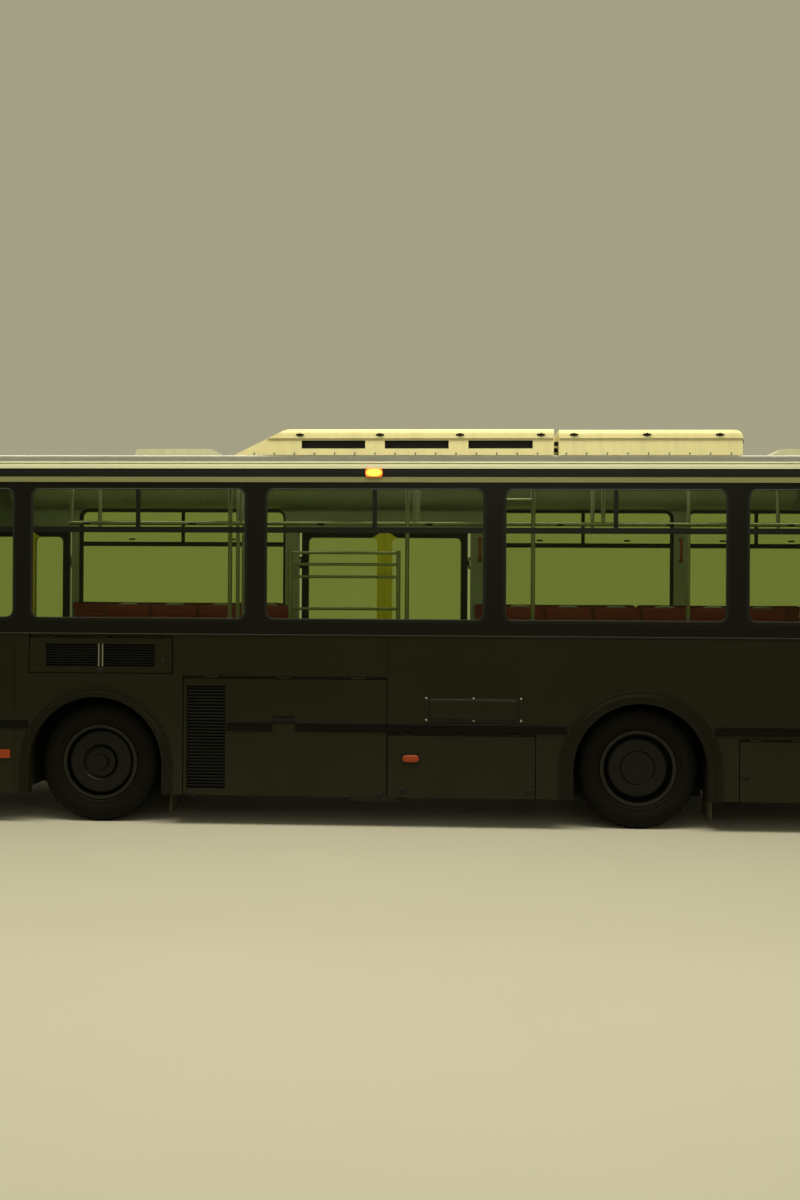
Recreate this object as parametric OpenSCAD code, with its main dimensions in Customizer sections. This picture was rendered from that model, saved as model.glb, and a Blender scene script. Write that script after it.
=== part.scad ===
/* [Body] */
// Distance from the rear axle to the rear of the body
rear_overhang = 2550; // [2450:10:2700]
// Width over the side panels
body_w = 2550; // [2500:10:2600]
// Height of the roof at the middle of its crown
roof_z = 3010; // [2980:5:3050]
// Height of the lower edge of the skirts
skirt_z = 245; // [235:5:255]
// Height where the side panels end and the roof edge begins
cant_z = 2722; // [2712:2:2735]
// Thickness of a side wall with its lining
wall_t = 60; // [54:2:70]
// Thickness of the roof with its lining
roof_t = 45; // [35:1:55]
// Thickness of the front and rear mouldings
mask_t = 50; // [44:2:56]
// Radius between the side and the roof
shoulder_r = 150; // [130:5:170]
// Radius of the roof crown across the body
crown_r = 11000; // [9000:500:14000]
// Radius of the corners of the front moulding seen from above
nose_corner_r = 260; // [220:10:270]
// Radius of the bow of the front seen from above
nose_bow_r = 6000; // [5750:250:8000]
// Radius of the bow of the rear seen from above
tail_bow_r = 40000; // [30000:1000:60000]
// Radius where the front turns into the roof
brow_r = 240; // [180:10:280]
// Radius of the corners of the rear moulding seen from above
tail_corner_r = 140; // [100:10:180]
// Radius where the rear turns into the roof
tail_brow_r = 130; // [100:10:160]
// Length of the front moulding along the side
nose_l = 390; // [380:5:400]
// Length of the rear moulding along the side
tail_l = 320; // [300:10:340]
// Height of the floor above the road
floor_z = 340; // [335:1:350]
// Thickness of the floor
floor_t = 60; // [50:2:64]

/* [Wheels] */
// Distance between the axles
wheelbase = 4300; // [4280:5:4320]
// Distance from the front of the body to the front axle
front_overhang = 2350; // [2330:5:2370]
// Outer radius of a tyre
tyre_r = 478; // [470:1:484]
// Width of a tyre
tyre_w = 275; // [260:1:285]
// Radius of the rim under the tyre bead
rim_r = 286; // [280:1:292]
// Depth of the tyre wall inside the side panel
wheel_inset = 105; // [95:1:115]
// Distance between the middles of the twin rear tyres
twin_pitch = 310; // [302:1:318]
// Distance from the steering pivot to the middle of the front tyre
pivot_inset = 110; // [104:1:116]
// Radius of the front wheel opening in the side panel
arch_front_r = 535; // [525:1:545]
// Radius of the rear wheel opening in the side panel
arch_rear_r = 522; // [515:1:532]
// Width of the moulded lip around a front wheel opening
lip_front_w = 76; // [60:1:90]
// Width of the moulded lip around a rear wheel opening
lip_rear_w = 112; // [95:1:125]
// How far a lip stands out of the side panel
lip_proud = 18; // [10:1:24]

/* [Windows] */
// Height of the lower edge of the glass
glass_z0 = 1640; // [1625:5:1655]
// Height of the upper edge of the glass
glass_z1 = 2670; // [2650:5:2680]
// Height of the bar between the lower pane and the hopper panes
transom_z = 2345; // [2320:5:2370]
// Height of that bar
transom_h = 46; // [36:2:60]
// Width of one long side pane
pane_w = 1715; // [1690:5:1735]
// Distance between the middles of two side panes
pane_pitch = 1885; // [1880:1:1895]
// Place of the middle of the first long pane behind the front axle
pane_first = 330; // [320:1:340]
// Thickness of the side panes
glass_t = 6; // [5:0.5:8]
// Width of the frame around a side pane
frame_w = 22; // [18:1:26]
// Corner radius of the side panes
pane_r = 60; // [40:5:80]

/* [Doors and flaps] */
// Clear width of the front doorway
front_door_w = 900; // [850:10:920]
// Place of the rear edge of the front doorway ahead of the front axle
front_door_ahead = 1005; // [995:5:1015]
// Clear width of the middle doorway
mid_door_w = 1700; // [1640:10:1730]
// Place of the front edge of the middle doorway behind the front axle
mid_door_behind = 1290; // [1280:5:1305]
// Height of the top of the doorways
door_top_z = 2490; // [2460:5:2530]
// Height of the lower edge of the door leaves
door_low_z = 272; // [265:1:285]
// Thickness of a door leaf
leaf_t = 40; // [34:1:44]
// Gap around a door or a flap
seam = 8; // [8:0.5:10]
// Place of the front edge of the engine door behind the front axle
engine_door_b = 705; // [700:1:715]
// Length of the engine door
engine_door_l = 1611; // [1590:1:1625]
// Height of the top of the engine door
engine_door_z = 1165; // [1150:5:1180]
// Distance from the rear edge of the middle skirt flap to the rear axle
mid_flap_ahead = 818; // [800:1:840]
// Height of the top of the middle skirt flap
mid_flap_z = 732; // [720:1:740]
// Distance from the rear axle to the front edge of the rear skirt flap
rear_flap_behind = 766; // [750:1:780]
// Length of the rear skirt flap
rear_flap_l = 900; // [800:10:1000]
// Height of the top of the rear skirt flap
rear_flap_z = 711; // [700:1:725]
// Thickness of a flap
flap_t = 28; // [24:1:30]

/* [Roof units] */
// Height of the top of the roof units
unit_top_z = 3190; // [3170:5:3215]
// Width of the roof units
unit_w = 1900; // [1800:20:2000]
// Place of the foot of the sloping front of the long unit behind the front axle
unit_b = 1040; // [1020:5:1060]
// Length of the slope
unit_slope_l = 430; // [400:10:460]
// Place of the rear end of the long unit behind the front axle
unit_end_b = 3640; // [3620:5:3655]
// Length of the rear unit
rear_unit_l = 1470; // [1440:5:1500]
// Gap between the two units
unit_gap = 40; // [30:1:50]
// Length and width of a roof hatch
hatch_w = 770; // [720:10:800]
// Place of the middle of the front roof hatch behind the front axle
hatch_front_b = 450; // [430:5:470]
// Distance from the middle of the rear roof hatch to the rear moulding
hatch_rear_ahead = 580; // [560:5:600]
// Height of a roof hatch above the crown
hatch_h = 85; // [75:1:95]

/* [Mouldings] */
// Height of the belt moulding under the windows
belt_z = 1513; // [1495:1:1530]
// Height of the lower edge of the rub mouldings
strip_z = 757; // [757:1:765]
// Height of a rub moulding
strip_h = 73; // [60:1:80]
// How far a rub moulding stands out of the side
strip_proud = 12; // [8:1:16]
// Height of the rail above the windows
drip_h = 41; // [36:1:42]
// Height of the lower edge of the upper cant rail
band_z = 2830; // [2829:1:2836]
// Height of the upper cant rail
band_h = 46; // [40:1:50]
// How far the cant rails stand out of the roof edge
rail_proud = 7; // [5:1:10]

/* [Mirrors and bumpers] */
// How far the mirrors reach ahead of the body
mirror_reach = 240; // [200:5:280]
// How far the bumpers stand out of the body
bumper_proud = 20; // [15:1:24]

/* [Hidden] */

half_w = body_w / 2;
// Length of the body without its mirrors
body_l = front_overhang + wheelbase + rear_overhang;
front_x = (body_l + bumper_proud - mirror_reach) / 2;
rear_x = front_x - body_l;
axle_x = front_x - front_overhang;
rear_axle_x = axle_x - wheelbase;
nose_x = front_x - nose_l;
tail_x = rear_x + tail_l;
seat_gap = 0.3;
wheel_y = half_w - wheel_inset - tyre_w / 2;
pivot_y = wheel_y - pivot_inset;
lining_y = half_w - wall_t;

// Place along the bus of a point that lies b behind the front axle
function fx(b) = axle_x - b;
// Ends of the straight sides, behind the front axle
nose_b = axle_x - nose_x;
tail_b = axle_x - tail_x;

// Points on an arc about (cu, cv), from angle a0 to a1
function arc(cu, cv, r, a0, a1, n, skip = 0) =
    [for (i = [skip:n]) [cu + r * cos(a0 + (a1 - a0) * i / n), cv + r * sin(a0 + (a1 - a0) * i / n)]];

// A bowed cap of half width hw: corner arcs of radius rc and a flat arc of radius rb up to the tip,
// all moved in by i. Each point is [across, towards the tip]
function cap(hw, rc, rb, tip, i) =
    let (uc = hw - rc, vk = tip - rb, vc = vk + sqrt((rb - rc) * (rb - rc) - uc * uc),
         a = atan2(vc - vk, uc))
    concat(arc(uc, vc, rc - i, 0, a, 9), arc(0, vk, rb - i, a, 180 - a, 12, 1),
           arc(-uc, vc, rc - i, 180 - a, 180, 9, 1));

// Flat outline drawn in x and z, given a thickness from y0 to y1
module slab(y0, y1) translate([0, y1, 0]) rotate([90, 0, 0]) linear_extrude(y1 - y0) children();
// Flat outline drawn in x and y, given a height from z0 to z1
module lift(z0, z1) translate([0, 0, z0]) linear_extrude(z1 - z0) children();
// Flat outline drawn in y and z, given a length from x0 to x1
module run(x0, x1) translate([x0, 0, 0]) rotate([90, 0, 90]) linear_extrude(x1 - x0) children();
// Rectangle between two corners
module rect(u0, u1, v0, v1) translate([u0, v0]) square([u1 - u0, v1 - v0]);
// Rectangle with round corners
module soft_rect(u0, u1, v0, v1, r) {
    rect(u0 + r, u1 - r, v0, v1);
    rect(u0, u1, v0 + r, v1 - r);
    for (u = [u0 + r, u1 - r], v = [v0 + r, v1 - r]) translate([u, v]) circle(r, $fn = 48);
}
// Block between two corners
module block(x0, x1, y0, y1, z0, z1) translate([x0, y0, z0]) cube([x1 - x0, y1 - y0, z1 - z0]);
// Round bar along y
module bar_y(x, y0, y1, z, r) translate([x, y1, z]) rotate([90, 0, 0]) cylinder(h = y1 - y0, r = r, $fn = 40);
// Round bar along x
module bar_x(x0, x1, y, z, r) translate([x0, y, z]) rotate([0, 90, 0]) cylinder(h = x1 - x0, r = r, $fn = 40);
// Round bar along z
module bar_z(x, y, z0, z1, r) translate([x, y, z0]) cylinder(h = z1 - z0, r = r, $fn = 40);
// The same piece on both sides of the bus
module both_sides() { children(); mirror([0, 1, 0]) children(); }

// Cross section of the body, moved in by i, from height z_low up
module section(i, z_low)
    polygon(concat(cap(half_w, shoulder_r, crown_r, roof_z, i), [[-(half_w - i), z_low], [half_w - i, z_low]]));

// Closed end of the body: tip is the end's place, d is 1 at the front and -1 at the rear
module end_solid(tip, d, rc, rb, brow, depth, i, z_low, z_high) {
    t = d * tip;
    back = t - depth;
    intersection() {
        lift(z_low, z_high)
            polygon([for (p = concat(cap(half_w, rc, rb, t, i), [[-(half_w - i), back], [half_w - i, back]]))
                [d * p[1], p[0]]]);
        run(min(d * back, tip - d * i), max(d * back, tip - d * i)) section(i, z_low);
        slab(i - half_w, half_w - i)
            polygon([for (p = concat([[back, z_low], [t - i, z_low]], arc(t - brow, roof_z - brow, brow - i, 0, 90, 8),
                [[back, roof_z - i]])) [d * p[0], p[1]]]);
    }
}
module nose_solid(i, z_low, z_high = roof_z, back = 0)
    end_solid(front_x, 1, nose_corner_r, nose_bow_r, brow_r, nose_l + back, i, z_low, z_high);
module tail_solid(i, z_low, z_high = roof_z, back = 0)
    end_solid(rear_x, -1, tail_corner_r, tail_bow_r, tail_brow_r, tail_l + back, i, z_low, z_high);
// Shell of an end between two depths below its surface
module nose_shell(i0, i1, z_low, z_high = roof_z) difference() {
    nose_solid(i0, z_low, z_high);
    nose_solid(i1, z_low - 1, i0 < 0 ? z_high + 1 : roof_z, 1);
}
module tail_shell(i0, i1, z_low, z_high = roof_z) difference() {
    tail_solid(i0, z_low, z_high);
    tail_solid(i1, z_low - 1, i0 < 0 ? z_high + 1 : roof_z, 1);
}

// Hinges: a pin on the fixed side, held by ears, and knuckles on the moving side
pin_r = 4;
bore_r = 4.5;
knuckle_r = 8;
knuckle_l = 60;
hinge_in = 9;
hinge_drop = 12;
hinge_rise = 13;
// Places of the moving knuckles along a hinge of length l, ears sit beside them
function knuckle_at(l) = [for (s = [-0.36, 0, 0.36]) s * l];
// Fixed half of a hinge along x, its pin at the origin, the wall edge above it
module hinge_fixed(l) {
    for (x = knuckle_at(l)) {
        translate([x, 0, 0]) bar_x(-knuckle_l, knuckle_l, 0, 0, pin_r);
        for (s = [-1, 1]) translate([x + s * (knuckle_l / 2 + 14), 0, 0]) {
            bar_x(-12, 12, 0, 0, knuckle_r);
            block(-12, 12, -5, 3, 0, hinge_rise + 4);
        }
    }
}
// Moving half of a hinge along x, its pin at the origin, the flap edge below it
module hinge_moving(l)
    for (x = knuckle_at(l)) translate([x, 0, 0]) difference() {
        union() {
            bar_x(-knuckle_l / 2, knuckle_l / 2, 0, 0, knuckle_r);
            block(-knuckle_l / 2, knuckle_l / 2, -5, 3, -hinge_drop - 4, 0);
        }
        bar_x(-knuckle_l, knuckle_l, 0, 0, bore_r);
    }

// Side openings, each as [front edge behind the front axle, rear edge, lower edge, upper edge]
skin_t = flap_t + 6;
ledge = 25;
locker = [-537, 609, 1207, 1480];
engine_open = [engine_door_b, engine_door_b + engine_door_l, skirt_z, engine_door_z];
flap_post = 14;
mid_flap = [engine_open[1] + flap_post, wheelbase - mid_flap_ahead, skirt_z, mid_flap_z];
rear_flap_b = wheelbase + rear_flap_behind;
rear_flap = [rear_flap_b, rear_flap_b + rear_flap_l, skirt_z, rear_flap_z];
left_flaps = [locker, engine_open, mid_flap, rear_flap];
// Side panes, each as [front edge behind the front axle, rear edge]
function pane(k) = [pane_first + k * pane_pitch - pane_w / 2, pane_first + k * pane_pitch + pane_w / 2];
driver_pane = [-1900, -675];
last_pane = [pane(3)[0], tail_b - 80];
left_panes = [driver_pane, pane(0), pane(1), pane(2), last_pane];
front_door = [-front_door_ahead - front_door_w, -front_door_ahead];
mid_door = [mid_door_behind, mid_door_behind + mid_door_w];
right_panes = [[front_door[1] + 100, mid_door[0] - 160], pane(2), last_pane];

module arch_2d(b, r, low) {
    translate([fx(b), tyre_r]) circle(r, $fn = 120);
    rect(fx(b) - r, fx(b) + r, low, tyre_r);
}
module pane_2d(p, grow, r) soft_rect(fx(p[1]) - grow, fx(p[0]) + grow, glass_z0 - grow, glass_z1 + grow, r);
module arches_2d() {
    arch_2d(0, arch_front_r, skirt_z - 1);
    arch_2d(wheelbase, arch_rear_r, skirt_z - 1);
}
// Outline of a side wall, without its flaps
module wall_2d() rect(tail_x, nose_x, skirt_z, cant_z);

// Grooves that show the joints between side panels, each as [front end, rear end, lower end, upper end]
groove_w = 5;
groove_deep = 3;
cab_panel_z = 1448;
left_grooves = [[nose_b + 1, locker[0] - 122, cab_panel_z, cab_panel_z + groove_w],
    [locker[0] - 122, locker[0] - 122 + groove_w, skirt_z + 1, cab_panel_z + groove_w],
    [engine_open[1] + 4, engine_open[1] + 4 + groove_w, engine_open[3] + 2 * ledge, belt_z]];
module grooves(list) for (g = list) block(fx(g[1]), fx(g[0]), half_w - groove_deep, half_w + 1, g[2], g[3]);
module side_wall_left() color("#2d2c26") {
    difference() {
        left_skin();
        grooves(left_grooves);
    }
    slab(lining_y, half_w - skin_t) difference() {
        wall_2d();
        arches_2d();
        for (p = left_panes) pane_2d(p, frame_w, pane_r + frame_w);
        for (f = left_flaps)
            rect(fx(f[1]) + ledge, fx(f[0]) - ledge, f[2] == skirt_z ? skirt_z - 1 : f[2] + ledge, f[3] - ledge);
    }
    for (f = left_flaps) translate([(fx(f[0]) + fx(f[1])) / 2, half_w - hinge_in, f[3] + hinge_drop])
        hinge_fixed(f[1] - f[0]);
}
// Outer sheet of the left wall, open around its flaps
module left_skin()
    slab(half_w - skin_t, half_w) difference() {
        wall_2d();
        arches_2d();
        for (p = left_panes) pane_2d(p, frame_w, pane_r + frame_w);
        for (f = left_flaps)
            rect(fx(f[1]) - seam, fx(f[0]) + seam, f[2] == skirt_z ? skirt_z - 1 : f[2] - seam,
                f[3] + hinge_drop + hinge_rise);
    }

module side_wall_right() color("#2d2c26") {
    slab(-half_w, -lining_y) difference() {
        wall_2d();
        arches_2d();
        for (p = right_panes) pane_2d(p, frame_w, pane_r + frame_w);
        for (d = [front_door, mid_door]) rect(fx(d[1]), fx(d[0]), skirt_z - 1, door_top_z);
    }
    for (d = [front_door, mid_door], s = [0, 1]) door_hinge_place(d, s) hinge_fixed(leaf_h);
}

// Door hinges stand upright at the outer jambs; s is 0 at the front jamb and 1 at the rear one
leaf_h = door_top_z - door_low_z - 2 * seam;
module door_hinge_place(d, s)
    translate([fx(d[s]) + (s == 0 ? -1 : 1) * hinge_rise, -(half_w - hinge_in), door_low_z + leaf_h / 2]) {
        if (s == 0) rotate([0, 0, 180]) rotate([0, -90, 0]) children();
        else mirror([1, 0, 0]) rotate([0, 0, 180]) rotate([0, -90, 0]) children();
    }

module leaf_2d(d, s, low, high) {
    mid = (fx(d[0]) + fx(d[1])) / 2;
    a = s == 0 ? mid + seam / 2 : fx(d[1]) + hinge_rise + hinge_drop;
    b = s == 0 ? fx(d[0]) - hinge_rise - hinge_drop : mid - seam / 2;
    soft_rect(a + low, b - low, door_low_z + seam + low, door_top_z - seam - low, high);
}
leaf_rim = 70;
module door_leaf(d, s) color("#26251f") {
    slab(-half_w, -half_w + leaf_t) difference() {
        leaf_2d(d, s, 0, 12);
        leaf_2d(d, s, leaf_rim, 50);
    }
    door_hinge_place(d, s) hinge_moving(leaf_h);
}
module door_front_fore() door_leaf(front_door, 0);
module door_front_aft() door_leaf(front_door, 1);
module door_mid_fore() door_leaf(mid_door, 0);
module door_mid_aft() door_leaf(mid_door, 1);
module door_pane(d, s) color("#3a4440")
    slab(-half_w + 8, -half_w + 8 + glass_t) leaf_2d(d, s, leaf_rim + seat_gap, 50);
module pane_front_fore() door_pane(front_door, 0);
module pane_front_aft() door_pane(front_door, 1);
module pane_mid_fore() door_pane(mid_door, 0);
module pane_mid_aft() door_pane(mid_door, 1);

hatches = [hatch_front_b, tail_b - hatch_rear_ahead];
hatch_hole = 300;
coaming_t = 18;
hatch_low = 6;
hatch_pin_back = 14;
hatch_pin_z = roof_z + 26;
module roof_shell() color("#e8e3c8") {
    difference() {
        union() {
            run(tail_x, nose_x) difference() {
                section(0, cant_z);
                section(roof_t, cant_z - 1);
            }
            for (b = hatches) block(fx(b) - hatch_hole - coaming_t, fx(b) + hatch_hole + coaming_t,
                -hatch_hole - coaming_t, hatch_hole + coaming_t, roof_z - roof_t + 5, roof_z + 30);
        }
        for (b = hatches)
            block(fx(b) - hatch_hole, fx(b) + hatch_hole, -hatch_hole, hatch_hole, roof_z - 200, roof_z + 50);
    }
    for (b = hatches) translate([fx(b) - hatch_w / 2 - hatch_pin_back, 0, hatch_pin_z]) {
        for (y = [-240, 240]) bar_y(0, y - 60, y + 60, 0, pin_r);
        for (y = [-292, -188, 188, 292]) {
            bar_y(0, y - 10, y + 10, 0, knuckle_r);
            block(-knuckle_r, knuckle_r - 2, y - 10, y + 10, -hatch_pin_z + roof_z - 12, 0);
        }
    }
}

// Rails along the roof edge, with a gutter above them; each follows the edge's own section
gutter_h = 10;
module rail_2d(z0, z1, proud) intersection() {
    difference() {
        section(-proud, cant_z - 10);
        section(-seat_gap, cant_z - 20);
    }
    rect(half_w - shoulder_r, half_w + 2 * proud, z0, z1);
}
module cant_rails() color("#cfcab0") both_sides() run(tail_x, nose_x) {
    rail_2d(cant_z, cant_z + drip_h, rail_proud);
    rail_2d(band_z, band_z + band_h, rail_proud);
    rail_2d(band_z + band_h - 1, band_z + band_h + gutter_h, 2 * rail_proud);
}

screen_z0 = 1180;
screen_z1 = 2610;
screen_y = 1110;
module screen_2d(i) soft_rect(-screen_y + i, screen_y - i, screen_z0 + i, screen_z1 - i, 120);
lamp_y = 960;
lamp_z = 720;
module front_lamps_2d(i) for (s = [-1, 1]) {
    soft_rect(s * lamp_y - 150 + i, s * lamp_y + 150 - i, lamp_z - 85 + i, lamp_z + 85 - i, 60);
}
nose_slot = [-520, 520, 22];
module front_mask() color("#2d2c26") difference() {
    nose_shell(0, mask_t, skirt_z);
    run(front_x - 300, front_x + 10) for (z = [610, 652, 694, 736])
        soft_rect(nose_slot[0], nose_slot[1], z, z + nose_slot[2], 10);
    run(front_x - 300, front_x + 10) screen_2d(0);
    run(front_x - 300, front_x + 10) front_lamps_2d(0);
}
module windscreen() color("#3a4440") intersection() {
    run(front_x - 300, front_x + 10) screen_2d(seat_gap);
    nose_shell(6, 14, skirt_z);
}
// Housing of the destination display, hung behind the top of the windscreen
display = [-900, 900, 2330, 2700];
module display_board() color("#141414") intersection() {
    nose_solid(mask_t + seat_gap, display[2], display[3]);
    block(front_x - 260, front_x, display[0], display[1], display[2], display[3]);
}
module front_lamps() color("#d8d8d0") intersection() {
    run(front_x - 300, front_x + 10) front_lamps_2d(seat_gap);
    nose_shell(4, mask_t, skirt_z);
}

rear_glass = [-900, 900, 1700, 2480];
hatch_2 = [-700, 700, 560, 1420];
tail_lamp_y = 1090;
stop_lamp = [-170, 170, 2560, 2600];
module tail_lamps_2d(i) {
    for (s = [-1, 1], z = [640, 820, 1000]) translate([s * tail_lamp_y, z]) circle(68 - i, $fn = 60);
    soft_rect(stop_lamp[0] + i, stop_lamp[1] - i, stop_lamp[2] + i, stop_lamp[3] - i, 15);
}
module rear_mask() color("#2d2c26") {
    difference() {
        tail_shell(0, mask_t, skirt_z);
        run(rear_x - 10, rear_x + 200) {
            soft_rect(rear_glass[0], rear_glass[1], rear_glass[2], rear_glass[3], 70);
            rect(hatch_2[0] - seam, hatch_2[1] + seam, hatch_2[2] - seam, hatch_2[3] + hinge_drop + hinge_rise);
            tail_lamps_2d(0);
        }
    }
    rear_hinge_place() hinge_fixed(hatch_2[1] - hatch_2[0]);
}
module rear_hinge_place()
    translate([rear_x + hinge_in, 0, hatch_2[3] + hinge_drop]) rotate([0, 0, 90]) children();
louvre_l = 560;
louvre_h = 24;
louvre_pitch = 62;
module rear_hatch() color("#2d2c26") {
    difference() {
        intersection() {
            run(rear_x - 10, rear_x + 200) rect(hatch_2[0], hatch_2[1], hatch_2[2], hatch_2[3]);
            tail_shell(0, flap_t, skirt_z);
        }
        run(rear_x - 10, rear_x + 200) for (z = [hatch_2[2] + 90:louvre_pitch:hatch_2[3] - 130])
            soft_rect(-louvre_l, louvre_l, z, z + louvre_h, 11);
    }
    rear_hinge_place() hinge_moving(hatch_2[1] - hatch_2[0]);
}
module rear_lamps() color("#a01810") intersection() {
    run(rear_x - 10, rear_x + 200) tail_lamps_2d(seat_gap);
    tail_shell(4, mask_t, skirt_z);
}

module side_windows() color("#3a4440") {
    for (p = left_panes) slab(half_w - 14, half_w - 14 + glass_t) pane_2d(p, -seat_gap, pane_r);
    for (p = right_panes) slab(-half_w + 14 - glass_t, -half_w + 14) pane_2d(p, -seat_gap, pane_r);
    intersection() {
        run(rear_x - 10, rear_x + 200)
            soft_rect(rear_glass[0] + seat_gap, rear_glass[1] - seat_gap, rear_glass[2] + seat_gap,
                rear_glass[3] - seat_gap, 70);
        tail_shell(6, 12, skirt_z);
    }
}

module frame_2d(p) difference() {
    pane_2d(p, frame_w - seat_gap, pane_r + frame_w);
    pane_2d(p, 0, pane_r);
}
module frame_bars_2d(p, split) {
    mid = (fx(p[0]) + fx(p[1])) / 2;
    rect(fx(p[1]) - 1, fx(p[0]) + 1, transom_z - transom_h / 2, transom_z + transom_h / 2);
    if (split) rect(mid - 18, mid + 18, transom_z, glass_z1 + 1);
}
module window_frames() color("#141412") {
    for (p = left_panes) {
        slab(half_w - 34, half_w - 3) frame_2d(p);
        slab(half_w - 8 + seat_gap, half_w - 3) frame_bars_2d(p, p != driver_pane);
    }
    for (p = right_panes) {
        slab(-half_w + 3, -half_w + 34) frame_2d(p);
        slab(-half_w + 3, -half_w + 8 - seat_gap) frame_bars_2d(p, true);
    }
}

// Mouldings along the sides. Their places are given behind the front axle, as [front end, rear end]
handle = [1417, 1592, 813, 875];
grille = [730, 1038, 297, 1109];
cover = [2617, 3385, 842, 1040];
trim_gap = 6;
// Half length of a lip at the height of the rub mouldings
function lip_reach(r) = sqrt(r * r - (strip_z - tyre_r) * (strip_z - tyre_r)) + trim_gap;
front_reach = lip_reach(arch_front_r + lip_front_w);
rear_reach = lip_reach(arch_rear_r + lip_rear_w);
left_strips = [[nose_b, -front_reach], [engine_open[1] + seam, wheelbase - rear_reach],
    [wheelbase + rear_reach, tail_b]];
right_strips = [[front_door[1] + 2 * seam, -front_reach], [front_reach, mid_door[0] - 2 * seam],
    [mid_door[1] + 2 * seam, wheelbase - rear_reach], [wheelbase + rear_reach, tail_b]];
door_strips = [[grille[1] + 2 * trim_gap, handle[0] - trim_gap],
    [handle[1] + trim_gap, engine_open[1] - seam / 2]];
// Moulding of height h on the left side, its edges sloping at its back
module strip(q, z, h, proud, back) run(fx(q[1]), fx(q[0]))
    polygon([[half_w + back, z], [half_w + proud - 2, z + 0.1 * h], [half_w + proud, z + 0.25 * h],
        [half_w + proud, z + 0.75 * h], [half_w + proud - 2, z + 0.9 * h], [half_w + back, z + h]]);
belt_h = 16;
belt_proud = 6;
module lip_2d(b, r, w) difference() {
    translate([fx(b), tyre_r]) circle(r + w, $fn = 120);
    translate([fx(b), tyre_r]) circle(r, $fn = 120);
    rect(fx(b) - 2 * r, fx(b) + 2 * r, -2 * r, tyre_r);
}
module lip_leg_2d(b, r, w) for (s = [-1, 1])
    rect(fx(b) + (s > 0 ? r : -r - w), fx(b) + (s > 0 ? r + w : -r), skirt_z, tyre_r + 0.5);
// Lip of a wheel opening: a broad flange with a raised bead along its inner edge
lip_bead = 26;
module lip(b, r, w) {
    slab(half_w + seat_gap, half_w + lip_proud - 6) { lip_2d(b, r, w); lip_leg_2d(b, r, w); }
    slab(half_w + lip_proud - 7, half_w + lip_proud) {
        lip_2d(b, r, w - lip_bead);
        lip_leg_2d(b, r, w - lip_bead);
    }
}
module side_trims() color("#2a2924") {
    both_sides() {
        lip(0, arch_front_r, lip_front_w);
        lip(wheelbase, arch_rear_r, lip_rear_w);
    }
    for (q = left_strips) strip(q, strip_z, strip_h, strip_proud, seat_gap);
    strip([nose_b, tail_b], belt_z - belt_h / 2, belt_h, belt_proud, seat_gap);
    mirror([0, 1, 0]) {
        for (q = right_strips) strip(q, strip_z, strip_h, strip_proud, seat_gap);
        for (q = [[front_door[1] + 2 * seam, mid_door[0] - 2 * seam], [mid_door[1] + 2 * seam, tail_b]])
            strip(q, belt_z - belt_h / 2, belt_h, belt_proud, seat_gap);
    }
    slab(half_w + seat_gap, half_w + 2.5) soft_rect(fx(cover[1]), fx(cover[0]), cover[2], cover[3], 20);
    slab(half_w + 2, half_w + 6) difference() {
        soft_rect(fx(cover[1]), fx(cover[0]), cover[2], cover[3], 20);
        soft_rect(fx(cover[1]) + 24, fx(cover[0]) - 24, cover[2] + 24, cover[3] - 24, 10);
    }
}

// Rubber flaps that hang behind the wheels from the wheel boxes
mud_t = 12;
mud_low = 95;
module mud_flaps() color("#161616") both_sides() for (q = [front_box[0], wheelbase + rear_box[0]])
    block(fx(q + box_t), fx(q + box_t) + mud_t, wheel_y - tyre_w / 2, lining_y - seat_gap,
        mud_low, floor_low - seat_gap);

module front_bumper() color("#1c1c1a") nose_shell(-bumper_proud, -seat_gap, skirt_z, 560);
module rear_bumper() color("#1c1c1a") tail_shell(-bumper_proud, -seat_gap, skirt_z, 500);

// Amber lamps: two on the roof edge, and small ones low on the sides
cant_lamp = [2143, 2273];
marker_z = [518, 587];
left_markers = [-790];
right_markers = [960, wheelbase - 1010, wheelbase + 1350];
flap_marker_l = 142;
marker_t = 10;
module marker(b, l, back) slab(half_w + back, half_w + marker_t)
    soft_rect(fx(b + l), fx(b), marker_z[0], marker_z[1], 8);
module marker_lamps() color("#e08010") {
    both_sides() slab(half_w + seat_gap, half_w + 24)
        soft_rect(fx(cant_lamp[1]), fx(cant_lamp[0]), cant_z + drip_h + 3, band_z - 3, 16);
    for (b = left_markers) marker(b, 100, seat_gap);
    mirror([0, 1, 0]) for (b = right_markers) marker(b, 100, seat_gap);
}

// Mirror heads hang from arms at mirror_y, their tops at mirror_z
mirror_arm_r = 14;
mirror_y = half_w - 50;
mirror_z = 2300;
mirror_arm_z = mirror_z + 150;
module mirrors() color("#1a1a18") both_sides() difference() {
    union() {
        run(front_x + mirror_reach - 90, front_x + mirror_reach)
            soft_rect(mirror_y - 50, mirror_y + 210, mirror_z - 400, mirror_z, 45);
        bar_x(front_x - 300, front_x + mirror_reach - 36, mirror_y, mirror_arm_z, mirror_arm_r);
        bar_z(front_x + mirror_reach - 50, mirror_y, mirror_z - 10, mirror_arm_z + mirror_arm_r, mirror_arm_r);
    }
    nose_solid(-seat_gap, skirt_z);
}
wiper_y = [90, 740];
wiper_z = 1245;
wiper_proud = 24;
module wipers() color("#101010") both_sides() {
    intersection() {
        nose_shell(-wiper_proud, -8, wiper_z - 145, wiper_z + 55);
        run(front_x - 100, front_x + 40) rect(wiper_y[0], wiper_y[1], wiper_z - 9, wiper_z + 9);
    }
    intersection() {
        nose_shell(-wiper_proud, -seat_gap, wiper_z - 145, wiper_z + 55);
        run(front_x - 100, front_x + 40) rect(wiper_y[1] - 16, wiper_y[1] + 16, wiper_z - 125, wiper_z + 9);
    }
}

module crown_cut() run(rear_x, front_x) section(-seat_gap, cant_z);
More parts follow.
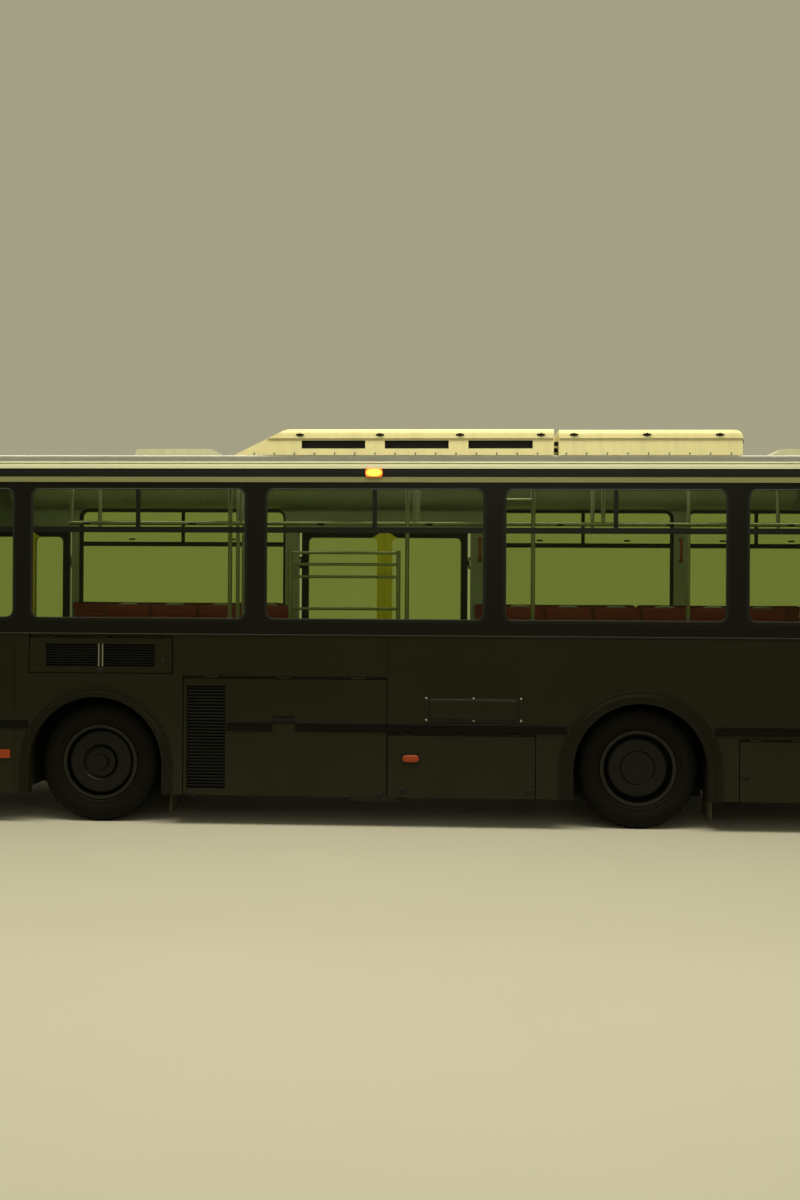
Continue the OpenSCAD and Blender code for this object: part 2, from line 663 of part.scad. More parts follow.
// Each unit is a tray under a lid that overhangs it and is rounded along its sides
unit_side = unit_w / 2;
tray_in = 14;
lid_z = 3112;
lid_r = 45;
unit_sink = 120;
module unit_2d(top) {
    rect(-unit_side + tray_in, unit_side - tray_in, roof_z - unit_sink, lid_z + 1);
    intersection() {
        soft_rect(-unit_side, unit_side, lid_z - 2 * lid_r, top, lid_r);
        rect(-unit_side - 1, unit_side + 1, lid_z, top + 1);
    }
}
foot_z = roof_z - 30;
slope_a = atan2(unit_top_z - foot_z, unit_slope_l);
ridge_r = 160;
ridge_x = fx(unit_b + unit_slope_l) - ridge_r * tan(slope_a / 2);
// Side slots of the long unit and fan openings in its lid, by their places behind the front axle
slots = [1590, 2270, 2950];
slot_l = 520;
slot_z = [3030, 3095];
slot_deep = 40;
fans = [1800, 2300, 2800, 3300];
fan_r = 195;
fan_deep = 55;
module roof_unit_long() color("#e8e3c8") {
    difference() {
        intersection() {
            run(fx(unit_end_b), fx(unit_b)) unit_2d(unit_top_z);
            slab(-unit_side - 1, unit_side + 1)
                polygon(concat([[fx(unit_end_b) - 1, roof_z - unit_sink], [fx(unit_b), roof_z - unit_sink]],
                    [[fx(unit_b), foot_z]], arc(ridge_x, unit_top_z - ridge_r, ridge_r, 90 - slope_a, 90, 6),
                    [[fx(unit_end_b) - 1, unit_top_z]]));
        }
        crown_cut();
        both_sides() slab(unit_side - tray_in - slot_deep, unit_side + 1)
            for (b = slots) rect(fx(b + slot_l), fx(b), slot_z[0], slot_z[1]);
        for (b = fans) bar_z(fx(b), 0, unit_top_z - fan_deep, unit_top_z + 1, fan_r);
    }
    for (b = fans) translate([fx(b), 0, unit_top_z - 8]) {
        for (r = [50, 98, 146]) difference() {
            cylinder(h = 6, r = r, $fn = 72);
            translate([0, 0, -1]) cylinder(h = 8, r = r - 6, $fn = 72);
        }
        for (a = [45, 135]) rotate([0, 0, a]) block(-fan_r - 5, fan_r + 5, -5, 5, 0, 6);
        translate([0, 0, 7 - fan_deep]) cylinder(h = 30, r = 62, $fn = 48);
    }
}
rear_unit_b = unit_end_b + unit_gap;
rear_unit_z = unit_top_z - 6;
module roof_unit_rear() color("#e8e3c8") difference() {
    intersection() {
        run(fx(rear_unit_b + rear_unit_l), fx(rear_unit_b)) unit_2d(rear_unit_z);
        slab(-unit_side - 1, unit_side + 1)
            soft_rect(fx(rear_unit_b + rear_unit_l), fx(rear_unit_b - 500), roof_z - 500, rear_unit_z, 70);
    }
    crown_cut();
}

// Hatch lid: a tight round at its front, a long slope behind a wide one at its rear
hatch_nose = 38;
hatch_slope = 130;
hatch_round = 120;
hatch_a = 34;
module roof_hatch(b) color("#e8e3c8") {
    x0 = fx(b) - hatch_w / 2;
    x1 = fx(b) + hatch_w / 2;
    difference() {
        slab(-hatch_w / 2, hatch_w / 2)
            polygon(concat([[x1, roof_z + hatch_low]],
                arc(x1 - hatch_nose, roof_z + hatch_h - hatch_nose, hatch_nose, 0, 90, 6),
                arc(x0 + hatch_slope, roof_z + hatch_h - hatch_round, hatch_round, 90, 90 + hatch_a, 5),
                [[x0, roof_z + 20], [x0, roof_z + hatch_low]]));
        block(x0 + 40, x1 - 40, -hatch_w / 2 + 40, hatch_w / 2 - 40, roof_z, roof_z + 40);
    }
    translate([x0 - hatch_pin_back, 0, hatch_pin_z]) for (y = [-240, 240]) difference() {
        union() {
            bar_y(0, y - 30, y + 30, 0, knuckle_r);
            block(0, hatch_pin_back + 30, y - 30, y + 30, -16, -4);
        }
        bar_y(0, y - 40, y + 40, 0, bore_r);
    }
}
module roof_hatch_front() roof_hatch(hatches[0]);
module roof_hatch_rear() roof_hatch(hatches[1]);

module flap_panel(f) slab(half_w - flap_t, half_w)
    rect(fx(f[1]), fx(f[0]), f[2], f[3]);
module flap_hinge(f) translate([(fx(f[0]) + fx(f[1])) / 2, half_w - hinge_in, f[3] + hinge_drop])
    hinge_moving(f[1] - f[0]);
// Sloping blades across an opening, from b0 to b1 and z0 to z1
blade_t = 3;
blade_deep = 20;
module blades(b0, b1, z0, z1, pitch) run(fx(b1) - 2, fx(b0) + 2)
    for (z = [z0 - 0.2 * pitch:pitch:z1 - 0.3 * pitch]) translate([half_w - 4 - blade_deep, z])
        polygon([[0, 0.55 * pitch], [blade_deep, 0], [blade_deep, blade_t], [0, 0.55 * pitch + blade_t]]);
handle_deep = 18;
module engine_door() color("#2d2c26") {
    difference() {
        flap_panel(engine_open);
        slab(half_w - flap_t - 1, half_w + 1) rect(fx(grille[1]), fx(grille[0]), grille[2], grille[3]);
        slab(half_w - handle_deep, half_w + 1) soft_rect(fx(handle[1]), fx(handle[0]), handle[2], handle[3], 14);
    }
    blades(grille[0], grille[1], grille[2], grille[3], 25);
    slab(half_w - 9, half_w - 3) rect(fx(handle[1]) - 2, fx(handle[0]) + 2, handle[2] + 26, handle[3] - 14);
    for (q = door_strips) strip(q, strip_z, strip_h, strip_proud, -2);
    flap_hinge(engine_open);
}
// Grilles of the locker flap, with two upright bars between them
locker_grilles = [[-407, 10, 1256, 1435], [65, 472, 1256, 1435]];
module locker_flap() color("#2d2c26") {
    difference() {
        flap_panel(locker);
        slab(half_w - flap_t - 1, half_w + 1) for (g = locker_grilles) rect(fx(g[1]), fx(g[0]), g[2], g[3]);
    }
    for (g = locker_grilles) blades(g[0], g[1], g[2], g[3], 20);
    slab(half_w - 2, half_w + 4) for (b = [locker_grilles[0][1] + 12, locker_grilles[1][0] - 12])
        rect(fx(b) - 4, fx(b) + 4, locker_grilles[0][2], locker_grilles[0][3]);
    flap_hinge(locker);
}
flap_marker_in = 109;
module skirt_flap_mid() color("#2d2c26") {
    flap_panel(mid_flap);
    marker(mid_flap[0] + flap_marker_in, flap_marker_l, -2);
    flap_hinge(mid_flap);
}
module skirt_flap_rear() color("#2d2c26") {
    flap_panel(rear_flap);
    marker(rear_flap[1] - flap_marker_l - 138, flap_marker_l, -2);
    flap_hinge(rear_flap);
}

// Inner housings: wheel boxes, engine housing and the plinth over the tanks
box_t = 25;
cab_b = -780;
cab_y = 250;
cab_z = floor_z + 150;
front_box = [575, 560];
rear_box = [540, 555];
box_top = 1035;
floor_low = floor_z - floor_t;
engine_box = [600, 2390, 560, 1140];
// Hollow plinths on the floor of the right side, which carry the seats beside the wheel boxes
plinths = [[front_box[0] + box_t + seat_gap, mid_door[0] - 50],
    [pane(2)[0], wheelbase - rear_box[0] - box_t - seat_gap],
    [wheelbase + rear_box[0] + box_t + seat_gap, tail_b - 450]];
module plinth(q) difference() {
    block(fx(q[1]), fx(q[0]), -lining_y + seat_gap, -front_box[1], floor_z + seat_gap, box_top + box_t);
    block(fx(q[1]) + box_t, fx(q[0]) - box_t, -lining_y - 1, -front_box[1] - box_t, floor_z - 1, box_top);
}
module housing(b0, b1, y0, z1) difference() {
    block(fx(b1) - box_t, fx(b0) + box_t, y0 - box_t, lining_y - seat_gap, floor_low, z1 + box_t);
    block(fx(b1), fx(b0), y0, lining_y + 1, floor_low - 1, z1);
}
module inner_housings() color("#3a3a36") {
    both_sides() {
        housing(-front_box[0], front_box[0], front_box[1], box_top);
        housing(wheelbase - rear_box[0], wheelbase + rear_box[0], rear_box[1], box_top);
    }
    housing(engine_box[0], engine_box[1], engine_box[2], engine_box[3]);
    for (q = plinths) plinth(q);
}
module floor_deck() color("#4a4a48") difference() {
    union() {
        block(tail_x, nose_x, -lining_y + seat_gap, lining_y - seat_gap, floor_low, floor_z);
        nose_solid(mask_t + seat_gap, floor_low, floor_z);
        tail_solid(mask_t + seat_gap, floor_low, floor_z);
        block(fx(cab_b), nose_x, cab_y, lining_y - seat_gap, floor_low, cab_z);
    }
    both_sides() for (q = [[0, front_box], [wheelbase, rear_box]])
        block(fx(q[0] + q[1][0]) - box_t - seat_gap, fx(q[0] - q[1][0]) + box_t + seat_gap,
            q[1][1] - box_t - seat_gap, half_w, floor_low - 1, floor_z + 1);
    block(fx(engine_box[1]) - box_t - seat_gap, fx(engine_box[0]) + 1, engine_box[2] - box_t - seat_gap, half_w,
        floor_low - 1, floor_z + 1);
}

tube = 50;
tube_z = floor_low - tube;
cross_tubes = [nose_b + 60, -1300, -700, 720, 1400, 2450, 3100, wheelbase - 650, wheelbase + 700, wheelbase + 1300,
    tail_b - 230];
// Towing eyes reach ahead of the first cross tube and behind the last, jacking pads hang below four of them
eye_r = 21;
eye_t = 30;
eye_z = 185;
eye_in = 75;
pad = 130;
pad_t = 15;
pad_y = 900;
module tow_eye(x_tube, x_eye) slab(-eye_t / 2, eye_t / 2) difference() {
    union() {
        translate([x_eye, eye_z]) circle(2.1 * eye_r, $fn = 60);
        rect(min(x_tube, x_eye), max(x_tube, x_eye), eye_z - 30, eye_z + 30);
        rect(x_tube - tube / 2, x_tube + tube / 2, eye_z - 30, tube_z + 5);
    }
    translate([x_eye, eye_z]) circle(eye_r, $fn = 60);
}
module underframe() color("#20201e") {
    both_sides() for (y = [250, 530])
        block(tail_x - 200, nose_x + 100, y - tube / 2, y + tube / 2, tube_z, floor_low - seat_gap);
    for (b = cross_tubes)
        block(fx(b) - tube / 2, fx(b) + tube / 2, -lining_y + 40, lining_y - 40, tube_z, floor_low - seat_gap);
    tow_eye(fx(cross_tubes[0]), front_x - eye_in);
    tow_eye(fx(cross_tubes[len(cross_tubes) - 1]), rear_x + eye_in);
    for (b = [cross_tubes[3], wheelbase - 650]) both_sides() translate([fx(b), pad_y, 0])
        block(-pad / 2, pad / 2, -pad / 2, pad / 2, tube_z - pad_t, tube_z + 1);
}

module front_axle() color("#1c1c1c") difference() {
    union() {
        run(axle_x - 45, axle_x + 45) polygon([[-560, 135], [560, 135], [600, 160], [780, 355], [830, 400],
            [pivot_y - 30, 425], [pivot_y - 30, 530], [830, 530], [760, 460], [560, 222], [-560, 222],
            [-760, 460], [-830, 530], [-pivot_y + 30, 530], [-pivot_y + 30, 425], [-830, 400], [-780, 355], [-600, 160]]);
        both_sides() bar_z(axle_x, pivot_y, 418, 538, 45);
    }
    both_sides() bar_z(axle_x, pivot_y, 400, 560, 22.5);
}
arm_back = 200;
arm_in = 82;
rod_z = 200;
// The ball stud of a steering arm reaches down to stud_low
module knuckle(stud_low) {
    bar_z(axle_x, pivot_y, 360, 580, 22);
    for (z = [[340, 411], [545, 580]]) bar_z(axle_x, pivot_y, z[0], z[1], 46);
    block(axle_x - 46, axle_x + 46, pivot_y + 52, pivot_y + 75, 345, 580);
    for (z = [[345, 411], [545, 580]]) block(axle_x - 46, axle_x + 46, pivot_y, pivot_y + 60, z[0], z[1]);
    bar_y(axle_x, pivot_y + 60, wheel_y + 90, tyre_r, 39.5);
    bar_y(axle_x, pivot_y + 70, pivot_y + 86, tyre_r, 150);
    translate([axle_x, pivot_y, 340]) rotate([0, 0, 180 + atan2(arm_in, arm_back)])
        block(0, sqrt(arm_back * arm_back + arm_in * arm_in), -20, 20, 0, 30);
    bar_z(axle_x - arm_back, pivot_y - arm_in, rod_z + 30, 370, 18);
    bar_z(axle_x - arm_back, pivot_y - arm_in, stud_low, rod_z + 40, 12);
}
// The right stud ends above the rod's eye, where the linkage is open
eye_h = 20;
module knuckle_left() color("#242424") knuckle(rod_z - eye_h - 5);
module knuckle_right() color("#242424") mirror([0, 1, 0]) knuckle(rod_z + eye_h + 6);
module tie_rod() color("#242424") difference() {
    union() {
        bar_y(axle_x - arm_back, -pivot_y + arm_in, pivot_y - arm_in, rod_z, 14);
        both_sides() bar_z(axle_x - arm_back, pivot_y - arm_in, rod_z - eye_h, rod_z + eye_h, 26);
    }
    both_sides() bar_z(axle_x - arm_back, pivot_y - arm_in, rod_z - eye_h - 10, rod_z + eye_h + 10, 12.5);
}

spring_r = 88;
// Radius rods: distance across, height, radius, length, and the half width of their brackets
radius_rod = [310, 152, 16, 640, 28];
module suspension() color("#181818") for (x = [axle_x, rear_axle_x]) both_sides() {
    for (s = [-1, 1]) {
        block(min(x + s * 45.3, x + s * 500), max(x + s * 45.3, x + s * 500), 370, 430, 145, 175);
        bar_z(x + s * 410, 400, 175, floor_low - seat_gap, spring_r);
    }
    bar_x(x - radius_rod[3], x - 45.3, radius_rod[0], radius_rod[1], radius_rod[2]);
    block(x - radius_rod[3] - 8, x - radius_rod[3] + 40, radius_rod[0] - radius_rod[4], radius_rod[0] + radius_rod[4],
        radius_rod[1] - radius_rod[2], floor_low - seat_gap);
}

// Propeller shaft from the gearbox to the axle
gearbox = [2370, 590, 900, 560];
shaft_z = 188;
shaft_x0 = rear_axle_x + 125;
shaft_y0 = 120;
shaft_x1 = fx(gearbox[0]) - 13;
shaft_y1 = (gearbox[1] + gearbox[2]) / 2;
module rear_axle() color("#1c1c1c") {
    block(rear_axle_x - 45, rear_axle_x + 45, -570, 570, 135, 222);
    bar_x(rear_axle_x - 130, rear_axle_x + 130, 120, shaft_z, 85);
    translate([shaft_x0, shaft_y0, shaft_z])
        rotate([0, 0, atan2(shaft_y1 - shaft_y0, shaft_x1 - shaft_x0)]) rotate([0, 90, 0])
        cylinder(h = sqrt(pow(shaft_x1 - shaft_x0, 2) + pow(shaft_y1 - shaft_y0, 2)), r = 36, $fn = 40);
    both_sides() {
        slab(561, 588) translate([rear_axle_x, 0]) {
            rect(-90, 90, 135, tyre_r);
            translate([0, tyre_r]) circle(90, $fn = 60);
        }
        bar_y(rear_axle_x, 561, 640, tyre_r, 100);
        bar_y(rear_axle_x, 561, wheel_y + 60, tyre_r, 44.5);
    }
}

engine = [790, 2000, 640, 1120];
module engine_block() color("#30302e") {
    block(fx(engine[1]), fx(engine[0]), engine[2], engine[3], floor_low, 1060);
    block(fx(gearbox[0]), fx(engine[1]) + 1, gearbox[1], gearbox[2], 150, gearbox[3]);
}
// Air tanks below the rear floor, as [distance across, height, radius]
air_tanks = [[-760, 155, 70], [-960, 155, 70]];
module tanks() color("#262624") for (q = air_tanks) {
    bar_x(fx(tail_b - 300), fx(wheelbase + 900), q[0], q[1], q[2]);
    for (b = [wheelbase + 1000, tail_b - 420])
        block(fx(b) - 20, fx(b) + 20, q[0] - 30, q[0] + 30, q[1] + q[2] - 3, floor_low - seat_gap);
}

// Tyre and wheel turned about the axle, each drawn as [radius, outwards]
module tyre_at(y) translate([0, y, 0]) rotate([-90, 0, 0]) rotate_extrude($fn = 120)
    polygon([[rim_r + 1, -100], [304, -100], [325, -121], [385, -tyre_w / 2], [430, -tyre_w / 2 + 6], [462, -118],
        [tyre_r, -100], [tyre_r, 100], [462, 118], [430, tyre_w / 2 - 6], [385, tyre_w / 2], [325, 121], [304, 100],
        [rim_r + 1, 100]]);
// Rim with its two flanges; disc is the rest of the outline, from the outer side of the barrel round to the inner side
rim_t = 14;
flange_r = 300;
flange_y = 113;
bead_y = 101;
module wheel_turned(disc) rotate([-90, 0, 0]) rotate_extrude($fn = 120)
    polygon(concat([[rim_r - rim_t, -flange_y], [flange_r, -flange_y], [flange_r, -bead_y], [rim_r + 0.7, -bead_y],
        [rim_r + 0.7, bead_y], [flange_r, bead_y], [flange_r, flange_y], [rim_r - rim_t, flange_y]], disc));
// Front disc: a domed ring, then a well with the hub and its cap; the spindle's bore is blind
front_bore = 40;
hub_r = 95;
rear_seat = 40;
tube_out = hub_r + 25;
front_disc = concat([[rim_r - rim_t, 30], [262, 36]], arc(222, 62, 40, 0, 90, 6), [[146, 106], [138, 98], [138, 66], [122, 60],
    [116, 88], [66, 92], [58, 118]], [[0, 122], [0, 100], [front_bore, 100], [front_bore, -16], [hub_r, -16], [hub_r, 46],
    [200, 60], [rim_r - rim_t, 12]]);
rear_bore = 45;
rear_disc = concat([[rim_r - rim_t, 20], [248, 26]], arc(204, 44, 44, 0, 90, 6), [[140, 90], [134, 84], [128, 90]],
    [[0, 94], [0, 74], [rear_bore, 74], [rear_bore, -16], [hub_r, -16], [hub_r, rear_seat], [tube_out + 6, rear_seat],
        [rim_r - rim_t, 2]]);
module tyre_front_left() color("#141414") translate([axle_x, wheel_y, tyre_r]) tyre_at(0);
module tyre_front_right() color("#141414") translate([axle_x, -wheel_y, tyre_r]) tyre_at(0);
module tyre_rear_left() color("#141414")
    for (y = [wheel_y, wheel_y - twin_pitch]) translate([rear_axle_x, y, tyre_r]) tyre_at(0);
module tyre_rear_right() color("#141414") mirror([0, 1, 0]) tyre_rear_left();
module wheel_front_left() color("#1e1e1c") translate([axle_x, wheel_y, tyre_r]) wheel_turned(front_disc);
module wheel_front_right() color("#1e1e1c") mirror([0, 1, 0]) wheel_front_left();
// The inner wheel's hub tube reaches out to the seat on the outer wheel's disc
hub_reach = twin_pitch + rear_seat - seat_gap;
inner_disc = [[rim_r - rim_t, 20], [tube_out, 60], [tube_out, hub_reach], [hub_r + 2, hub_reach], [hub_r + 2, 40],
    [rim_r - rim_t, 0]];
module wheel_rear_left() color("#1e1e1c") {
    translate([rear_axle_x, wheel_y, tyre_r]) wheel_turned(rear_disc);
    translate([rear_axle_x, wheel_y - twin_pitch, tyre_r]) wheel_turned(inner_disc);
}
module wheel_rear_right() color("#1e1e1c") mirror([0, 1, 0]) wheel_rear_left();

// Side profile of a seat, its squab's top at 0 and its middle at 0: a bent sheet of even thickness
recline = 8;
seat_th = 56;
bend_r = 60;
squab_l = 218;
bend_u = -120;
back_l = 500;
seat_pts = concat(
    arc(squab_l, -seat_th / 2, seat_th / 2, -90, 90, 6),
    arc(bend_u, bend_r, bend_r, -90, -180 + recline, 6),
    arc(bend_u + (bend_r + seat_th / 2) * cos(180 + recline) - back_l * sin(recline),
        bend_r + (bend_r + seat_th / 2) * sin(180 + recline) + back_l * cos(recline),
        seat_th / 2, recline, 180 + recline, 6),
    arc(bend_u, bend_r, bend_r + seat_th, -180 + recline, -90, 6));
// A seat turned by a from facing forwards, at b behind the axle and at y, on a foot of height h at height z
module seat(b, y, z, w, h, a = 0) translate([fx(b), y, z]) rotate([0, 0, a]) {
    block(-30, 60, -40, 40, seat_gap, h + 10);
    slab(-w / 2, w / 2) translate([0, h + seat_th]) polygon(seat_pts);
}
driver_b = -1250;
module driver_seat() color("#2a2a30") seat(driver_b, driver_y, cab_z, 480, 320);
dash_b = [-1950, -1650];
dash_z = cab_z + 590;
lining_gap = 10;
driver_y = 720;
// Steering wheel: place, tilt, radius of its ring and of the ring's tube, and length of the column below it
steer_at = [-1560, 1150];
steer_tilt = 55;
steer_r = 225;
steer_tube = 14;
column_l = 260;
module dashboard() color("#20201e") {
    block(fx(dash_b[1]), fx(dash_b[0]), cab_y, lining_y - lining_gap, cab_z + seat_gap, dash_z);
    translate([fx(steer_at[0]), driver_y, steer_at[1]]) rotate([0, steer_tilt, 0]) {
        rotate_extrude($fn = 60) translate([steer_r, 0]) circle(steer_tube, $fn = 24);
        cylinder(h = 20, r = 40, $fn = 40);
        for (a = [0:120:240]) rotate([0, 0, a]) block(0, steer_r, -12, 12, 0, 12);
        translate([0, 0, -column_l]) cylinder(h = column_l + 2, r = 22, $fn = 40);
    }
}
partition_t = 40;
partition_h = 1010;
module cab_partition() color("#303030") {
    block(fx(cab_b), fx(cab_b) + partition_t, cab_y, lining_y - lining_gap, cab_z + seat_gap, cab_z + partition_h);
}
// Passenger seats as [place behind the front axle, place across, height of what carries them, foot, turn].
// The right side's seats face inwards, side by side over the wheel boxes and the plinths
deck = box_top + box_t;
seat_pitch = 470;
side_seat_y = -895;
side_foot = 73;
floor_foot = 380;
seat_rows = concat([for (i = [0:3]) [-420 + i * seat_pitch, side_seat_y, deck, side_foot, 90]],
    [for (i = [-2:3]) [wheelbase + 120 + i * seat_pitch, side_seat_y, deck, side_foot, 90]],
    [for (b = [2800, 3400]) [b, -side_seat_y, floor_z, floor_foot, -90]],
    [for (b = [wheelbase + 1000, tail_b - 530]) [b, 850, floor_z, floor_foot, 0]]);
seat_w = 460;
module passenger_seats() color("#7a1c1c")
    for (q = seat_rows) seat(q[0], q[1], q[2], seat_w, q[3], q[4]);
pole_r = 18;
// Upright poles as [place behind the front axle, place across, foot]
guard_y = 590;
guard_top = engine_box[3] + box_t;
poles = [[940, guard_y, guard_top], [895, -25, floor_z], [840, -guard_y - 30, deck], [2440, guard_y - 70, floor_z],
    [3500, guard_y - 30, floor_z], [wheelbase + 600, -25, floor_z]];
rail_b = -500;
rail_y = 420;
rail_z = 2450;
// Guard of the luggage shelf over the engine housing, between two posts
guard = [1455, 2370];
guard_bars = [1450, 1720, 1990, 2095, 2192];
guard_r = 12;
elbow_z = 2640;
module grab_rails() color("#8a8a80") difference() {
    union() {
        for (p = poles) bar_z(fx(p[0]), p[1], p[2] + seat_gap, roof_z, pole_r);
        for (b = guard) bar_z(fx(b), guard_y, guard_top + seat_gap, guard_bars[4] + 20, pole_r);
        for (z = guard_bars) bar_x(fx(guard[1]), fx(guard[0]), guard_y, z, guard_r);
        // Elbow from the pole behind the middle doors to the pillar beside it
        bar_x(fx(poles[4][0]), fx(pane(1)[1] + 80), poles[4][1], elbow_z, pole_r);
        bar_y(fx(pane(1)[1] + 80), poles[4][1] - pole_r, lining_y - seat_gap, elbow_z, pole_r);
        both_sides() {
            bar_x(fx(tail_b - 730), fx(rail_b), rail_y, rail_z, pole_r);
            for (b = [rail_b + 20, 1000, 2500, wheelbase - 200, tail_b - 750])
                bar_z(fx(b), rail_y, rail_z, roof_z, pole_r);
        }
    }
    difference() {
        block(rear_x, front_x, -half_w, half_w, rail_z + 100, roof_z + 1);
        run(rear_x - 1, front_x + 1) section(roof_t + seat_gap, cant_z - 1000);
    }
}

underframe();
floor_deck();
inner_housings();
side_wall_left();
side_wall_right();
roof_shell();
cant_rails();
front_mask();
rear_mask();
windscreen();
side_windows();
window_frames();
side_trims();
mud_flaps();
display_board();
front_bumper();
rear_bumper();
front_lamps();
rear_lamps();
marker_lamps();
mirrors();
wipers();
roof_unit_long();
roof_unit_rear();
roof_hatch_front();
roof_hatch_rear();
engine_door();
locker_flap();
skirt_flap_mid();
skirt_flap_rear();
rear_hatch();
door_front_fore();
door_front_aft();
door_mid_fore();
door_mid_aft();
pane_front_fore();
pane_front_aft();
pane_mid_fore();
pane_mid_aft();
front_axle();
knuckle_left();
knuckle_right();
tie_rod();
suspension();
rear_axle();
engine_block();
tanks();
tyre_front_left();
tyre_front_right();
tyre_rear_left();
tyre_rear_right();
wheel_front_left();
wheel_front_right();
wheel_rear_left();
wheel_rear_right();
driver_seat();
dashboard();
cab_partition();
passenger_seats();
grab_rails();
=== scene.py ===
import math

import bmesh
import bpy
import numpy as np
from mathutils import Matrix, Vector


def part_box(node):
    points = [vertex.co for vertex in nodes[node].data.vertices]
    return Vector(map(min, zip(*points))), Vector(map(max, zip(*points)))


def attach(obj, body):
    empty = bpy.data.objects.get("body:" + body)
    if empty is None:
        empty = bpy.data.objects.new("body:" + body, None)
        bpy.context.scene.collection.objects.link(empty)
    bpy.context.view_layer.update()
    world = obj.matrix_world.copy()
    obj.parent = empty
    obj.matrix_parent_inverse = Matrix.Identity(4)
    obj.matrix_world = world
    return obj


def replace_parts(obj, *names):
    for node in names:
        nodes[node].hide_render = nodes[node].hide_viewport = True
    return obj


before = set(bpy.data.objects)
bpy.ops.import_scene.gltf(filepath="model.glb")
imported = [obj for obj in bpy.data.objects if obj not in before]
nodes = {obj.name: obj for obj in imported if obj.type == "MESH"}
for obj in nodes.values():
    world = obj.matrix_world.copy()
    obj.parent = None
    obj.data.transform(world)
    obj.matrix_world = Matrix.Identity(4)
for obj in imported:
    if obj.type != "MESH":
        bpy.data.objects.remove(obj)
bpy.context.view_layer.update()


# Viewpoint: a long lens at eye height, square to the left side but for a small turn and a slight roll.
# The distance is from the side panel, and the optical axis meets that panel a little behind the middle.
def box(name):
    """Lowest and highest corner of a CAD node as arrays."""
    low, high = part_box(name)
    return np.array(low), np.array(high)


def linked(name, data):
    """A new object of the scene that shows that data."""
    made = bpy.data.objects.new(name, data)
    bpy.context.scene.collection.objects.link(made)
    return made


def unit_length(vectors):
    """Vectors scaled to a length of 1."""
    return vectors / np.linalg.norm(vectors, axis=-1, keepdims=True)


def stand(across, upward, back, place):
    """Matrix of a camera or a light from its three axes and its place."""
    return Matrix(np.column_stack([np.append(axis, 0) for axis in (across, upward, back)] + [np.append(place, 1)]))


SIDE_Y = box("side_wall_left")[1][1]
front_wheel = sum(box("tyre_front_left")) / 2
AXLE_X = front_wheel[0]
EYE_HEIGHT = 1.797
EYE_DISTANCE = 9.59
AIM_BEHIND_AXLE = 2.418
TURN = math.radians(2.78)
ROLL = math.radians(0.34)
PHOTO_SIZE = (800, 1200)
FOCAL_PIXELS = 1220
SENSOR = 36

ahead = np.array([math.sin(TURN), -math.cos(TURN), 0])
level = np.array([-math.cos(TURN), -math.sin(TURN), 0])
right = level * math.cos(ROLL) + np.array([0, 0, math.sin(ROLL)])
up = np.cross(right, ahead)
aim = np.array([AXLE_X - AIM_BEHIND_AXLE, SIDE_Y, EYE_HEIGHT])
eye = aim - ahead * EYE_DISTANCE
camera_data = bpy.data.cameras.new("camera")
camera_data.sensor_width = SENSOR
camera_data.lens = SENSOR * FOCAL_PIXELS / max(PHOTO_SIZE)
camera_data.clip_end = 200
camera = linked("camera", camera_data)
camera.matrix_world = stand(right, up, -ahead, eye)
bpy.context.scene.camera = camera


# Studio: a pale matt floor under an even pale sky, two long soft boxes over the sides of the bus and a weaker one
# behind the viewer. Nothing here belongs to the bus.
def maths(operation, reflected=False):
    """A method that adds one Math node for its own value and another number or value."""
    def method(self, *others):
        values = (self, *others)
        node = self.finish.node("ShaderNodeMath", dict(enumerate(values[::-1] if reflected else values)),
                                operation=operation)
        return Value(self.finish, node.outputs[0])
    return method


class Value:
    """A number that varies over a surface: arithmetic and comparisons on it add Math nodes to its finish."""

    def __init__(self, finish, socket):
        self.finish, self.socket = finish, socket

    __add__, __radd__ = maths("ADD"), maths("ADD", True)
    __sub__, __rsub__ = maths("SUBTRACT"), maths("SUBTRACT", True)
    __mul__, __rmul__ = maths("MULTIPLY"), maths("MULTIPLY", True)
    __gt__, __lt__ = maths("GREATER_THAN"), maths("LESS_THAN")
    sine, max, min = maths("SINE"), maths("MAXIMUM"), maths("MINIMUM")

    def ramp(self, low, high):
        """0 below low, 1 above high, smooth between."""
        node = self.finish.node("ShaderNodeMapRange", {0: self, 1: low, 2: high, 3: 0.0, 4: 1.0},
                                interpolation_type="SMOOTHSTEP")
        return Value(self.finish, node.outputs[0])


NOISE_ROUGHNESS = 0.55


